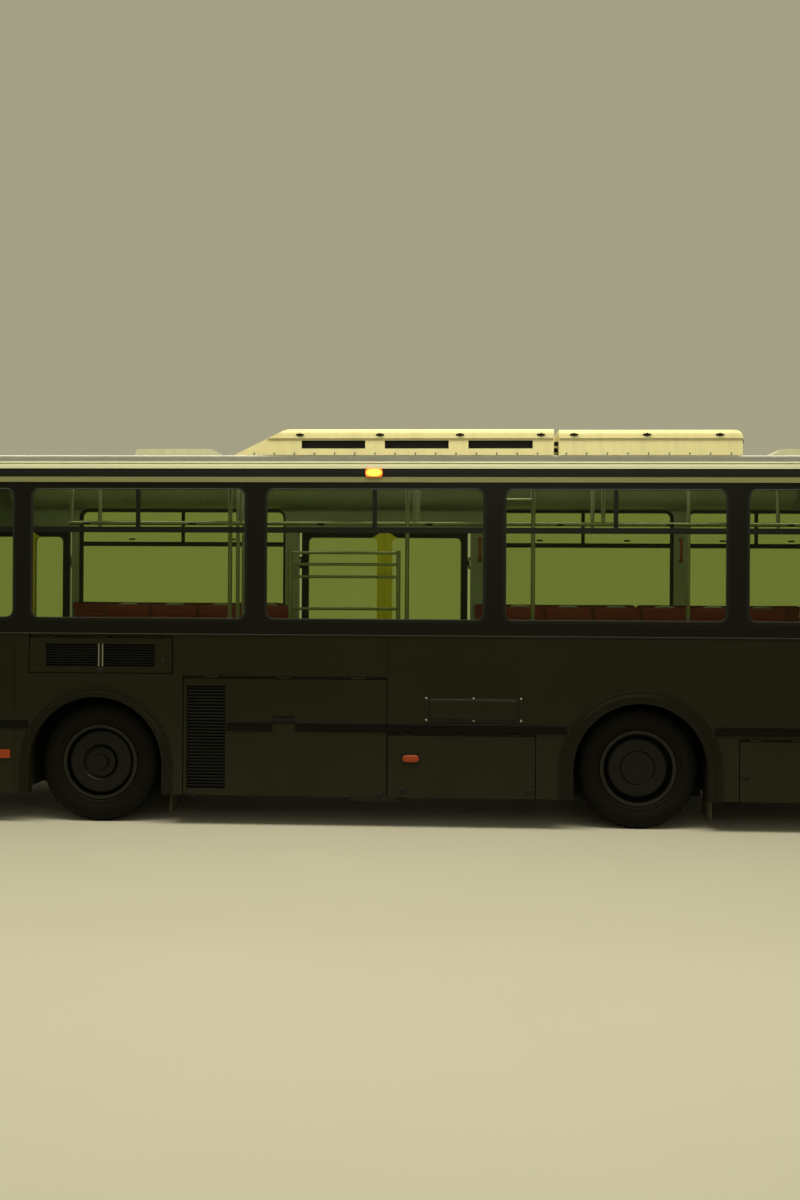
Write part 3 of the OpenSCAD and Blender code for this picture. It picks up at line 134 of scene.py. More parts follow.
class Finish:
    """A procedural material on Object coordinates. node() adds any node: first its settings, then its sockets."""

    def __init__(self, name):
        self.material = bpy.data.materials.new(name)
        self.material.use_nodes = True
        self.tree = self.material.node_tree
        self.tree.nodes.clear()
        self.place = self.node("ShaderNodeTexCoord").outputs["Object"]
        axes = self.node("ShaderNodeSeparateXYZ", {0: self.place})
        self.x, self.y, self.z = (Value(self, s) for s in axes.outputs)

    def node(self, kind, inputs=None, **settings):
        """Any node, with its settings and the values or links of its sockets."""
        made = self.tree.nodes.new(kind)
        for key, value in settings.items():
            setattr(made, key, value)
        for key, value in (inputs or {}).items():
            socket = made.inputs[key]
            if isinstance(value, Value):
                value = value.socket
            if isinstance(value, bpy.types.NodeSocket):
                self.tree.links.new(value, socket)
            elif isinstance(value, tuple) and len(value) == 3 and socket.type == "RGBA":
                socket.default_value = (*value, 1)
            else:
                socket.default_value = value
        return made

    def stretched(self, scale):
        """The Object coordinates, scaled by three numbers."""
        return self.node("ShaderNodeMapping", {0: self.place, 3: scale}).outputs[0]

    def noise(self, scale, detail=4.0, stretch=None):
        """Soft noise from 0 to 1 over the place, stretched if asked."""
        where = self.place if stretch is None else self.stretched(stretch)
        made = self.node("ShaderNodeTexNoise", {"Vector": where, "Scale": scale, "Detail": detail,
                                                "Roughness": NOISE_ROUGHNESS})
        return Value(self, made.outputs[0])

    def mix(self, factor, first, second):
        """Colour that goes from first to second as factor goes from 0 to 1."""
        made = self.node("ShaderNodeMix", {0: factor, 6: first, 7: second}, data_type="RGBA")
        return made.outputs[2]

    def bump(self, height, distance, strength=1.0, under=None):
        """Normal of a relief of that height, laid over another normal if one is given."""
        inputs = {"Height": height, "Distance": distance, "Strength": strength}
        if under is not None:
            inputs["Normal"] = under
        return self.node("ShaderNodeBump", inputs).outputs[0]

    def surface(self, colour, roughness, normal=None, **constants):
        """Ends the finish in one Principled shader. Constants are socket names with _ for a space."""
        inputs = {"Base Color": colour, "Roughness": roughness}
        if normal is not None:
            inputs["Normal"] = normal
        inputs.update({key.replace("_", " "): value for key, value in constants.items()})
        shader = self.node("ShaderNodeBsdfPrincipled", inputs)
        self.node("ShaderNodeOutputMaterial", {0: shader.outputs[0]})
        return self.material


def worn_finish(name, first, second, roughness, change=0.0, wear=(6, 4), grain=None, stretch=None, **constants):
    """Finish between two tones: a soft noise of that scale and detail mixes them and changes the roughness. grain
    gives a fine noise's scale and the depth and strength of its bump."""
    f = Finish(name)
    worn = f.noise(*wear, stretch=stretch)
    normal = f.bump(f.noise(grain[0], 2), *grain[1:]) if grain else None
    return f.surface(f.mix(worn, first, second), roughness + change * worn if change else roughness, normal,
                     **constants)


def mesh_of(name, points, faces):
    """Mesh from an array of points and an array of faces, or a list of such arrays."""
    mesh = bpy.data.meshes.new(name)
    blocks = faces if isinstance(faces, list) else [faces]
    mesh.from_pydata(points.tolist(), [], [face for block in blocks for face in block.tolist()])
    return mesh


def paint(mesh, materials, which=None):
    """Gives a mesh its finishes, and each face the number of its own if there are several."""
    mesh.materials.clear()
    for material in materials:
        mesh.materials.append(material)
    if which is not None:
        mesh.polygons.foreach_set("material_index", which.astype(np.int32))


def put_mesh(name, points, faces, materials, body=None, which=None, sharp=40):
    """Makes an object from arrays, turns its faces outwards, smooth but for edges over sharp degrees, and lets it
    ride on a body."""
    mesh = mesh_of(name, points, faces)
    paint(mesh, materials, which)
    mesh.validate()
    shell = bmesh.new()
    shell.from_mesh(mesh)
    bmesh.ops.recalc_face_normals(shell, faces=shell.faces)
    shell.to_mesh(mesh)
    shell.free()
    mesh.polygons.foreach_set("use_smooth", np.ones(len(mesh.polygons), bool))
    mesh.set_sharp_from_angle(angle=math.radians(sharp))
    made = linked(name, mesh)
    if body:
        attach(made, body)
    return made


FLOOR_HALF = 60
studio_floor = put_mesh(
    "studio_floor", np.array([[-1, -1, 0], [1, -1, 0], [1, 1, 0], [-1, 1, 0]]) * FLOOR_HALF, np.array([[0, 1, 2, 3]]),
    [worn_finish("studio_floor", (0.56, 0.54, 0.44), (0.60, 0.58, 0.48), 0.75, wear=(0.6, 3))])

SKY_COLOUR = (0.60, 0.57, 0.38)
SKY_STRENGTH = 0.62
SOFT_WHITE = (1.0, 0.95, 0.76)
world = bpy.data.worlds.new("studio_sky")
world.use_nodes = True
world.node_tree.nodes["Background"].inputs[0].default_value = (*SKY_COLOUR, 1)
world.node_tree.nodes["Background"].inputs[1].default_value = SKY_STRENGTH
bpy.context.scene.world = world
bpy.context.scene.view_settings.view_transform = "Standard"


def soft_box(name, place, target, size, power):
    """An area light of that size, facing its target."""
    data = bpy.data.lights.new(name, "AREA")
    data.shape, data.size, data.size_y = "RECTANGLE", size[0], size[1]
    data.energy, data.color = power, SOFT_WHITE
    back = unit_length(np.subtract(place, target))
    across = unit_length(np.cross([0.0, 0.0, 1.0], back))
    linked(name, data).matrix_world = stand(across, np.cross(back, across), back, place)


soft_box("soft_box_left", (0, 4.0, 8.5), (0, 1.2, 1.0), (13, 3), 720)
soft_box("soft_box_right", (0, -5.5, 7.5), (0, -1.2, 1.0), (13, 3), 560)
soft_box("soft_box_eye", (-2, 14, 5), (0, 1.2, 1.2), (8, 3), 70)


# Bodywork: sheet steel and moulded panels in charcoal two-pack paint, a shade warm, black from the belt up.
# Sprayed after the body is built; road dust settles along the skirt and in thin vertical rain marks.
BELT_Z = 1.513


def dress(name, *materials, pick=None):
    """Gives a CAD node its finishes. pick works out each face's finish from the faces' middles and normals."""
    mesh = nodes[name].data
    middles, normals = (np.empty(len(mesh.polygons) * 3) for _ in range(2))
    mesh.polygons.foreach_get("center", middles)
    mesh.polygons.foreach_get("normal", normals)
    paint(mesh, materials, pick and pick(middles.reshape(-1, 3), normals.reshape(-1, 3)))


def corners(name):
    """Places of a CAD node's vertices."""
    return np.array([v.co for v in nodes[name].data.vertices])


def behind(at, b0, b1, z0, z1):
    """Which faces lie between two places behind the front axle and two heights."""
    b = AXLE_X - at[:, 0]
    return (b > b0) & (b < b1) & (at[:, 2] > z0) & (at[:, 2] < z1)


def charcoal_paint(name):
    """Charcoal below the belt and black above it, dusty towards the ground."""
    f = Finish(name)
    mottled = f.noise(1.3, 3)
    marks = f.noise(9, 5, stretch=(1, 1, 0.05))
    fine = f.noise(60, 3)
    colour = f.mix(mottled, (0.0082, 0.0080, 0.0018), (0.0118, 0.0112, 0.0030))
    colour = f.mix(f.z > BELT_Z, colour, (0.0040, 0.0040, 0.0020))
    dust = (1 - f.z.ramp(0.25, 1.05)) * (0.3 + 0.7 * marks)
    colour = f.mix(dust * 0.18 + (fine - 0.5) * 0.05, colour, (0.045, 0.040, 0.022))
    roughness = 0.27 + 0.09 * mottled + 0.30 * dust
    waves = f.noise(1.6, 1, stretch=(1, 1, 0.5))
    normal = f.bump(waves, 0.006, under=f.bump(fine, 0.00025, 0.5))
    return f.surface(colour, roughness, normal, Specular_IOR_Level=0.13, Coat_Weight=0.04, Coat_Roughness=0.12)


def lining_finish(name, first, second, roughness=0.6):
    """Moulded lining with a fine leather-like grain and slight soiling."""
    return worn_finish(name, first, second, roughness, -0.12, (2.2, 4), (220, 0.0008, 0.6))


body_paint = charcoal_paint("body_paint")
wall_lining = lining_finish("wall_lining", (0.27, 0.31, 0.225), (0.33, 0.37, 0.28))
ceiling_lining = lining_finish("ceiling_lining", (0.33, 0.38, 0.27), (0.40, 0.45, 0.33), 0.5)
dark_lining = lining_finish("dark_lining", (0.07, 0.075, 0.06), (0.11, 0.115, 0.095))

INSIDE_Y, MASK_INSIDE_Y, FACING_IN = SIDE_Y - 0.052, 1.2, -0.3
for side in ("side_wall_left", "side_wall_right"):
    dress(side, body_paint, wall_lining, pick=lambda at, n: np.abs(at[:, 1]) < INSIDE_Y)
for end, facing in (("front_mask", 1), ("rear_mask", -1)):
    dress(end, body_paint, wall_lining,
          pick=lambda at, n: (n[:, 0] * facing < FACING_IN) & (np.abs(at[:, 1]) < MASK_INSIDE_Y))
dress("rear_hatch", body_paint)
dress("cab_partition", dark_lining)


# Fittings on the body: latches and locks of the flaps, bolts of the battery cover, screws round the wheel lips.
# Zinc or black fittings screwed from outside; each rides with the panel that carries it.
def grid_faces(index, rows_closed=False, columns_closed=False):
    """Quads between neighbouring entries of a grid of point numbers, also from its last row or column to its first
    where that direction is closed."""
    if rows_closed:
        index = np.vstack([index, index[:1]])
    if columns_closed:
        index = np.hstack([index, index[:, :1]])
    return np.stack([index[:-1, :-1], index[:-1, 1:], index[1:, 1:], index[1:, :-1]], axis=-1).reshape(-1, 4)


def joined(*parts):
    """Puts (points, list of face arrays, finish number) parts into one set of arrays."""
    points, faces, finishes, start = [], [], [], 0
    for part_points, part_faces, finish in parts:
        for block in part_faces if isinstance(part_faces, list) else [part_faces]:
            faces.append(block + start)
            finishes.append(np.full(len(block), finish))
        points.append(part_points)
        start += len(part_points)
    return np.vstack(points), faces, np.concatenate(finishes)


def put_parts(name, parts, materials, body):
    """Joins parts into one object that rides on a body."""
    points, faces, which = joined(*parts)
    return put_mesh(name, points, faces, materials, body, which)


def ring_shell(points, rows_closed=False):
    """Skin over a grid of points whose rows are closed rings: the last ring joins the first where rows_closed, or
    else each end is capped."""
    index = np.arange(points[..., 0].size).reshape(points.shape[:2])
    faces = [grid_faces(index, rows_closed, True)]
    if not rows_closed:
        faces += [index[:1, ::-1], index[-1:]]
    return points.reshape(-1, 3), faces


def tube(path, radius, sides=12, closed=False):
    """Circle carried along a path: each ring stands square to the path's direction there, and its first corner is
    turned as little as possible from the ring before. Its ends are capped, or joined where closed."""
    path = np.asarray(path, float)
    if closed:
        direction = np.roll(path, -1, axis=0) - np.roll(path, 1, axis=0)
    else:
        direction = np.gradient(path, axis=0)
    direction = unit_length(direction)
    reference = np.eye(3)[np.argmin(np.abs(direction).max(axis=0))]
    first = unit_length(np.cross(direction, reference))
    second = np.cross(direction, first)
    turn = np.linspace(0, 2 * np.pi, sides, endpoint=False)
    radius = np.broadcast_to(radius, len(path))[:, None, None]
    around = first[:, None] * np.cos(turn)[:, None] + second[:, None] * np.sin(turn)[:, None]
    return ring_shell(path[:, None] + radius * around, closed)


def extruded(outline, x0, x1):
    """Closed outline of (across, up) carried straight along the bus from x0 to x1, with both ends closed."""
    outline = np.asarray(outline, float)
    return ring_shell(np.stack([np.column_stack([np.full(len(outline), x), outline]) for x in (x0, x1)]))


def placed(points, at, forward, across, upward):
    """Points given as (forward, across, up) in a piece's own frame, put into the bus."""
    return np.asarray(at) + points @ np.array([forward, across, upward])


def boss(half_u, half_w, layers, power=8, around=28):
    """Stack of rounded rectangles closed at both ends: for each layer (inset, height) the outline over the turn a is
    (half_u - inset) s cos a by (half_w - inset) s sin a, with s = (|cos a|^power + |sin a|^power)^(-1/power)."""
    inset, height = np.array(layers, float).T
    a = np.linspace(0, 2 * np.pi, around, endpoint=False)
    square = (np.abs(np.cos(a)) ** power + np.abs(np.sin(a)) ** power) ** (-1 / power)
    return ring_shell(np.stack(np.broadcast_arrays(
        (half_u - inset)[:, None] * square * np.cos(a), (half_w - inset)[:, None] * square * np.sin(a),
        height[:, None]), axis=-1))


def turned(profile, around=40):
    """Profile of (radius, height) turned about its axis, closed at both ends."""
    return boss(0, 0, [(-radius, height) for radius, height in profile], 2, around)


# Frames for what is fixed to a face: the two directions along it and the one out of it
LEFT = (1, 0, 0), (0, 0, 1), (0, 1, 0)
RIGHT = (1, 0, 0), (0, 0, 1), (0, -1, 0)
FRONT = (0, 1, 0), (0, 0, 1), (1, 0, 0)
REAR = (0, 1, 0), (0, 0, 1), (-1, 0, 0)


def fitted(form, spots, face, finish=0):
    """Copies of a form at several places on a face, as parts for joined()."""
    return [(placed(form[0], spot, *face), form[1], finish) for spot in spots]


def at_b(behind, y, z):
    """Place given behind the front axle, across and up."""
    return AXLE_X - behind, y, z


zinc = worn_finish("zinc", (0.34, 0.33, 0.29), (0.20, 0.19, 0.16), 0.35, 0.25, (30, 4), Metallic=0.85)
fitting_black = worn_finish("fitting_black", (0.0035, 0.0035, 0.002), (0.009, 0.0085, 0.005), 0.38, 0.2, (25, 4),
                            (300, 0.0003, 0.6), Specular_IOR_Level=0.2)
f = Finish("mesh_dark")
holes = ((f.x * 1100).sine() * (f.z * 1100).sine()).ramp(-0.2, 0.3)
mesh_dark = f.surface(f.mix(holes, (0.003, 0.003, 0.003), (0.012, 0.012, 0.010)), 0.7, f.bump(holes, 0.0015))

latch_bed = boss(0.034, 0.022, [(0, 0), (0, 0.002), (0.002, 0.004), (0.012, 0.004), (0.014, 0.001)], 5)
latch_paddle = boss(0.020, 0.012, [(0, 0), (0, 0.004), (0.003, 0.0065)], 4)
lock_barrel = turned([(0.014, 0), (0.014, 0.003), (0.0115, 0.005), (0.0085, 0.005), (0.008, 0.0035)], 24)
key_slot = boss(0.001, 0.005, [(0, 0.0034), (0, 0.0042)], 6, 12)
bolt_head = turned([(0.009, 0), (0.009, 0.0015), (0.006, 0.004), (0.0025, 0.0045)], 12)
FACE_Y = SIDE_Y - 0.001
latches = {"skirt_flap_mid": [(2.449, 0.303), (3.437, 0.303)], "skirt_flap_rear": [(5.106, 0.437), (5.926, 0.437)],
           "engine_door": [(0.760, 0.262), (2.262, 0.262)], "locker_flap": [(0.030, 1.222)]}
for panel, spots in latches.items():
    spots = [at_b(b, FACE_Y, z) for b, z in spots]
    parts = fitted(latch_bed, spots, LEFT) + fitted(latch_paddle, spots, LEFT)
    if panel == "locker_flap":
        barrel = [at_b(0.536, FACE_Y, 1.310)]
        parts += fitted(lock_barrel, barrel, LEFT) + fitted(key_slot, barrel, LEFT, 1)
    put_parts(f"latch_{panel}", parts, [fitting_black, zinc], panel)

# Battery cover: bolts round its rim and a raised middle; wheel lips: a screw every 32 degrees and two on each leg
COVER_B, COVER_Z = (2.617, 3.385), (0.842, 1.040)
BOLT_IN = 0.013
AXLE_Z, REAR_AXLE_B = 0.478, 4.300
LIP_SCREWS = ((0.0, 0.596), (REAR_AXLE_B, 0.619))
bolts = [at_b(b, FACE_Y + 0.007, z) for b in np.linspace(COVER_B[0] + BOLT_IN, COVER_B[1] - BOLT_IN, 3)
         for z in (COVER_Z[0] + BOLT_IN, COVER_Z[1] - BOLT_IN)]
cover_middle = boss(0.350, 0.083, [(0, 0), (0, 0.006), (0.003, 0.011), (0.009, 0.0145), (0.020, 0.016),
                                   (0.05, 0.0165)], 14, 64)
parts = fitted(bolt_head, bolts, LEFT, 2)
parts += fitted(cover_middle, [at_b(sum(COVER_B) / 2, FACE_Y + 0.002, sum(COVER_Z) / 2)], LEFT, 1)
for axle_b, lip_r in LIP_SCREWS:
    arc = [(axle_b - lip_r * math.cos(a), AXLE_Z + lip_r * math.sin(a)) for a in np.radians(np.arange(26, 160, 32))]
    legs = [(axle_b + s * lip_r, z) for s in (-1, 1) for z in (0.285, 0.385)]
    for face, side in ((LEFT, 1), (RIGHT, -1)):
        parts += fitted(bolt_head, [at_b(b, side * (SIDE_Y + 0.0115), z) for b, z in arc + legs], face)
put_parts("body_bolts", parts, [fitting_black, body_paint, zinc], "bus")

# Dark mesh behind the grilles of the engine door and of the locker flap, glued 4 mm over their edges
GRILLES = {"engine_door": [(0.728, 1.040, 0.295, 1.111)],
           "locker_flap": [(-0.409, 0.012, 1.254, 1.437), (0.063, 0.474, 1.254, 1.437)]}
MESH_OVER = 0.004
for panel, openings in GRILLES.items():
    parts = []
    for b0, b1, z0, z1 in openings:
        sheet = boss((b1 - b0) / 2 + MESH_OVER, (z1 - z0) / 2 + MESH_OVER, [(0, 0), (0, 0.002)], 60, 40)
        parts += fitted(sheet, [at_b((b0 + b1) / 2, SIDE_Y - 0.031, (z0 + z1) / 2)], LEFT)
    put_parts(f"mesh_{panel}", parts, [mesh_dark], panel)


# Roof: aluminium skin in a dull silvery grey, with a black strip between the two rails along each edge. The rails
# are pressed strips screwed on through their gutters; the skin inside the cabin carries the ceiling lining.
STRIP_TOP_Z = 2.832
UPPER_RAIL_Z = 2.78


def roof_finish(name, first, second, strip=False):
    """Gloss between two tones with rain soil that runs off the crown. strip adds the black one low on the sides."""
    f = Finish(name)
    soil = f.noise(3.0, 5)
    runs = f.noise(14, 4, stretch=(1, 0.15, 0.15))
    colour = f.mix(soil, first, second)
    colour = f.mix((runs - 0.45).max(0) * 0.7, colour, tuple(0.5 * c for c in second))
    gloss = 0.25
    if strip:
        low = f.z < STRIP_TOP_Z
        colour = f.mix(low, colour, (0.0045, 0.0045, 0.0025))
        gloss = 0.27 - 0.27 * low
    normal = f.bump(f.noise(2.0, 1), 0.004, under=f.bump(f.noise(90, 2), 0.0002, 0.4))
    return f.surface(colour, 0.33 + 0.15 * soil, normal, Coat_Weight=gloss, Coat_Roughness=0.15,
                     Specular_IOR_Level=0.25)


roof_paint = roof_finish("roof_paint", (0.180, 0.182, 0.142), (0.128, 0.130, 0.102), strip=True)
unit_paint = roof_finish("unit_paint", (0.88, 0.81, 0.45), (0.81, 0.74, 0.39))
hatch_paint = roof_finish("hatch_paint", (0.66, 0.65, 0.44), (0.58, 0.57, 0.38))
f = Finish("rail_aluminium")
dull = f.noise(5, 5, stretch=(0.3, 1, 1))
pitted = f.noise(120, 3, stretch=(0.4, 1, 1))
upper_rail = f.z > UPPER_RAIL_Z
rail_aluminium = f.surface(
    f.mix(upper_rail, f.mix(dull, (0.225, 0.235, 0.100), (0.170, 0.175, 0.075)),
          f.mix(dull, (0.58, 0.58, 0.39), (0.48, 0.48, 0.32))),
    0.34 + 0.2 * dull, f.bump(pitted, 0.0003, 0.6), Specular_IOR_Level=0.4)
CABIN_MIDDLE_Z, TOWARDS_CABIN = 1.6, -0.05
dress("roof_shell", roof_paint, ceiling_lining, pick=lambda at, n: (
    n[:, 1] * at[:, 1] + n[:, 2] * (at[:, 2] - CABIN_MIDDLE_Z) < TOWARDS_CABIN))
dress("cant_rails", rail_aluminium)
for hatch in ("roof_hatch_front", "roof_hatch_rear"):
    dress(hatch, hatch_paint)


# Cooling units: a long one with a sloping nose and a rear one, moulded plastic covers in cream.
# Each is a tray bolted to the roof bars under a lid. The faces in the slots and in the fan openings behind guards are
# painted near black, as painted shade.
slot_painted_shade = worn_finish("slot_painted_shade", (0.010, 0.010, 0.009), (0.022, 0.021, 0.018), 0.7, wear=(40, 3))
unit_side_y = box("roof_unit_long")[1][1]
unit_top = box("roof_unit_long")[1][2]
SLOTS = 1.589, 3.471, 3.0299, 3.0951
FANS = 1.6, 3.5, unit_top - 0.0565, unit_top - 0.001
SLOT_Y, FAN_Y = (0.3, unit_side_y - 0.0145), 0.2
# Painted shade: the faces inside the slots and the fan openings take the near-black slot finish
dress("roof_unit_long", unit_paint, slot_painted_shade, pick=lambda at, n: (
    (behind(at, *SLOTS) & (np.abs(at[:, 1]) > SLOT_Y[0]) & (np.abs(at[:, 1]) < SLOT_Y[1]))
    | (behind(at, *FANS) & (np.abs(at[:, 1]) < FAN_Y))))
dress("roof_unit_rear", unit_paint)
CATCH_Z = 3.140
TRAY_IN = 0.014
BOLT_PITCH = 0.165
tray_y = unit_side_y - TRAY_IN
unit_points = corners("roof_unit_long")
tray_low = unit_points[(np.abs(np.abs(unit_points[:, 1]) - tray_y) < 0.002)][:, 2].min()
catch_lever = [(-0.030, 0, 0.006), (-0.034, 0, 0.012), (-0.020, 0, 0.014), (0.002, 0, 0.013)]
unit_catch = joined((*boss(0.033, 0.0085, [(0, 0), (0, 0.003), (0.002, 0.005)], 4, 24), 0),
                    (*boss(0.016, 0.0125, [(0, 0.004), (0, 0.008), (0.004, 0.012)], 3, 20), 0),
                    (*tube(catch_lever, 0.0028, 8), 0))[:2]
unit_bolt = turned([(0.0075, 0), (0.0075, 0.0012), (0.0045, 0.0032), (0.002, 0.0035)], 10)
rain_streak = boss(0.0030, 0.016, [(0, 0), (0.0005, 0.0006)], 4, 12)
for unit, catches, first_bolt, last_bolt in (
        ("roof_unit_long", (1.577, 2.231, 2.881, 3.535), 1.20, 3.60),
        ("roof_unit_rear", (3.800, 4.384, 4.965), 3.74, 5.08)):
    parts = []
    for side, face in ((1, LEFT), (-1, RIGHT)):
        parts += fitted(unit_catch, [at_b(b, side * unit_side_y, CATCH_Z) for b in catches], face)
        spots = [at_b(b, side * tray_y, tray_low + 0.022) for b in np.arange(first_bolt, last_bolt, BOLT_PITCH)]
        parts += fitted(unit_bolt, spots, face, 1)
        parts += fitted(rain_streak, [np.subtract(spot, (0, 0, 0.013)) for spot in spots], face)
        rim = [(side * (tray_y + dy), tray_low + dz) for dy, dz in (
            (-0.004, -0.004), (0.005, -0.004), (0.006, 0.003), (0.003, 0.006), (-0.004, 0.006))]
        parts.append((*extruded(rim, AXLE_X - last_bolt - 0.03, AXLE_X - first_bolt + 0.05), 0))
    put_parts(f"fittings_{unit}", parts, [fitting_black, zinc], "bus")

# Hoses of the cooling circuit: three cross the gap between the units, two loop out of the rear one's end
GAP_B, REAR_END_B = (3.630, 3.690), 5.148
hose_turn = np.linspace(0, np.pi, 15)
parts = [(*tube([at_b(GAP_B[0], y, z), at_b(3.660, y, z + 0.004), at_b(GAP_B[1], y, z)], 0.017, 14), 0)
         for y, z in ((0.86, 3.075), (0.80, 3.030), (-0.84, 3.060))]
for y, z, high in ((0.80, 3.105, 0.030), (0.70, 3.060, 0.026)):
    loop = np.column_stack([AXLE_X - REAR_END_B - 0.031 * np.sin(hose_turn), np.full(15, y),
                            z + high * np.cos(hose_turn)])
    parts.append((*tube(loop, 0.009, 10), 0))
put_parts("cooling_hoses", parts, [fitting_black], "bus")


# Mouldings: plastic rub strips, wheel lips and belt ledge, clipped and screwed on once the panels are painted, with
# the moulded bumpers, mirrors, wipers and the blank display behind the windscreen.
def moulded_plastic(name, first, second, roughness=0.42, grain=130, depth=0.0004):
    """Moulded plastic with a fine grain, worn smoother in places."""
    return worn_finish(name, first, second, roughness, -0.1, (6, 4), (grain, depth, 0.7), Specular_IOR_Level=0.2)


trim_plastic = moulded_plastic("trim_plastic", (0.0075, 0.0070, 0.0024), (0.0110, 0.0100, 0.0035), 0.36, 60)
black_plastic = moulded_plastic("black_plastic", (0.0030, 0.0032, 0.0016), (0.0065, 0.0065, 0.0035), 0.48)
f = Finish("gloss_black")
wiped = f.noise(7, 4)
gloss_black = f.surface(f.mix(wiped, (0.0018, 0.0019, 0.0008), (0.0036, 0.0036, 0.0016)), 0.30 + 0.12 * wiped,
                        f.bump(f.noise(4, 1), 0.002), Specular_IOR_Level=0.05, Coat_Weight=0.07, Coat_Roughness=0.16)
lip_paint = worn_finish("lip_paint", (0.0048, 0.0042, 0.0012), (0.0072, 0.0062, 0.0020), 0.32, 0.12, (5, 4),
                        (60, 0.0004, 0.6), Specular_IOR_Level=0.08, Coat_Weight=0.10, Coat_Roughness=0.14)
dress("side_trims", trim_plastic)


def arch_lip(axle_b, inner, wide, side):
    """Moulding carried along a wheel opening, up one leg, over the half circle and down the other: across its width
    it rolls out of the opening, swells as a sine by 6 mm over a bead, and ends in a thin flange for the screws."""
    t = np.linspace(0, 1, 9)
    crown = wide - 0.026
    across = np.concatenate([[0.0005, 0, 0.002], 0.006 + (crown - 0.012) * t,
                             [crown - 0.002, crown, wide - 0.004, wide, wide, 0.02]])
    out = np.concatenate([[-0.030, 0.010, 0.0165], 0.0190 + 0.006 * np.sin(np.pi * t),
                          [0.0175, 0.0128, 0.0126, 0.0105, -0.002, -0.004]])
    leg_z = np.linspace(0.2455, AXLE_Z, 6)
    turn = np.linspace(0, np.pi, 73)
    z = np.concatenate([leg_z[:-1], np.full(73, AXLE_Z), leg_z[-2::-1]])
    angle = np.concatenate([np.zeros(5), turn, np.full(5, np.pi)])
    reach = inner + across[None, :]
    return ring_shell(np.stack([
        AXLE_X - axle_b + reach * np.cos(angle)[:, None],
        np.broadcast_to(side * (SIDE_Y + out), reach.repeat(len(z), 0).shape),
        z[:, None] + reach * np.sin(angle)[:, None]], axis=-1))


put_parts("arch_lips", [
    (*arch_lip(b, inner, wide, side), 0) for b, inner, wide in ((0.0, 0.535, 0.076), (REAR_AXLE_B, 0.522, 0.112))
    for side in (-1, 1)], [lip_paint], "bus")
STRIP_Z, STRIP_HALF = 0.7935, 0.0375


def rub_strip(b0, b1, side):
    """Bulged moulding: its outline over the turn a from -90 to 90 degrees is 37.5 mm sin a high by 15.5 mm cos a to
    the power 0.5 proud."""
    a = np.linspace(-np.pi / 2, np.pi / 2, 15)
    outline = np.column_stack([side * (SIDE_Y - 0.001 + 0.0155 * np.cos(a).clip(0) ** 0.5),
                               STRIP_Z + STRIP_HALF * np.sin(a)])
    return extruded(outline, AXLE_X - b1, AXLE_X - b0)


FRONT_REACH, REAR_REACH, NOSE_B, TAIL_STRIP_B = 0.5496, 0.5754, -1.955, 6.525
BEFORE_REAR, AFTER_REAR = REAR_AXLE_B - REAR_REACH, REAR_AXLE_B + REAR_REACH
STRIPS = {1: [(NOSE_B, -FRONT_REACH), (2.324, BEFORE_REAR), (AFTER_REAR, TAIL_STRIP_B)],
          -1: [(-0.989, -FRONT_REACH), (FRONT_REACH, 1.274), (3.006, BEFORE_REAR), (AFTER_REAR, TAIL_STRIP_B)]}
put_parts("rub_strips", [(*rub_strip(b0, b1, side), 0) for side, runs in STRIPS.items() for b0, b1 in runs],
          [gloss_black], "bus")
put_parts("rub_strips_engine_door", [(*rub_strip(1.050, 1.411, 1), 0), (*rub_strip(1.598, 2.312, 1), 0)],
          [gloss_black], "engine_door")
for name in ("mirrors", "front_bumper", "rear_bumper"):
    dress(name, black_plastic)
f = Finish("display_dots")
dots = ((f.y * 500).sine() * (f.z * 500).sine()).ramp(0.35, 0.6)
dress("display_board", f.surface(f.mix(dots, (0.006, 0.006, 0.005), (0.050, 0.040, 0.014)), 0.35,
                                 f.bump(dots, 0.0008)))

# Mirror glasses, and wipers: a sprung arm from a pivot under the screen holds a blade on a bowed back
mirror_glass = worn_finish("mirror_glass", (0.86, 0.87, 0.86), (0.74, 0.75, 0.74), 0.02, 0.04, (60, 3),
                           Metallic=1.0)
MIRROR_Y, MIRROR_Z, MIRROR_DEEP = 1.305, 2.100, 0.090
mirror_x = box("mirrors")[1][0] - MIRROR_DEEP
mirror_face = boss(0.112, 0.178, [(0, 0), (0, 0.002), (0.003, 0.0035), (0.012, 0.004)], 7, 48)
put_parts("mirror_glasses",
          fitted(mirror_face, [(mirror_x + 0.001, side * MIRROR_Y, MIRROR_Z) for side in (-1, 1)], REAR),
          [mirror_glass], "bus")
wiper_points = corners("wipers")
wiper_y = np.unique(np.round(np.abs(wiper_points[:, 1]), 3))
wiper_x = np.array([wiper_points[np.abs(np.abs(wiper_points[:, 1]) - y) < 0.0015, 0].max() for y in wiper_y])
PIVOT_Y, PIVOT_Z, BLADE_Z = 0.740, 1.128, 1.2450
blade_y = np.linspace(0.090, PIVOT_Y, 27)
blade_x = np.interp(blade_y, wiper_y, wiper_x)
bowed = np.sin(np.linspace(0, np.pi, 27))
arm = np.array([[PIVOT_Y, PIVOT_Z], [0.735, 1.150], [0.660, 1.196], [0.540, 1.228], [0.415, 1.2465]])
arm_x = np.interp(arm[:, 0], wiper_y, wiper_x) - 0.006
pivot = turned([(0.017, -0.016), (0.017, 0.001), (0.011, 0.005), (0.005, 0.006)], 24)
parts = []
for side in (-1, 1):
    blade = np.column_stack([blade_x - 0.016, side * blade_y, np.full(27, BLADE_Z)])
    back = np.column_stack([blade_x - 0.012 + 0.007 * bowed, side * blade_y, np.full(27, BLADE_Z + 0.0025)])
    parts += [(*tube(blade, 0.0055, 8), 0), (*tube(back, 0.0035, 8), 1),
              (*tube(np.column_stack([arm_x, side * arm[:, 0], arm[:, 1]]), [0.009, 0.008, 0.0065, 0.005, 0.004], 10),
               1)]
    parts += fitted(pivot, [(arm_x[0] - 0.001, side * PIVOT_Y, PIVOT_Z)], FRONT, 1)
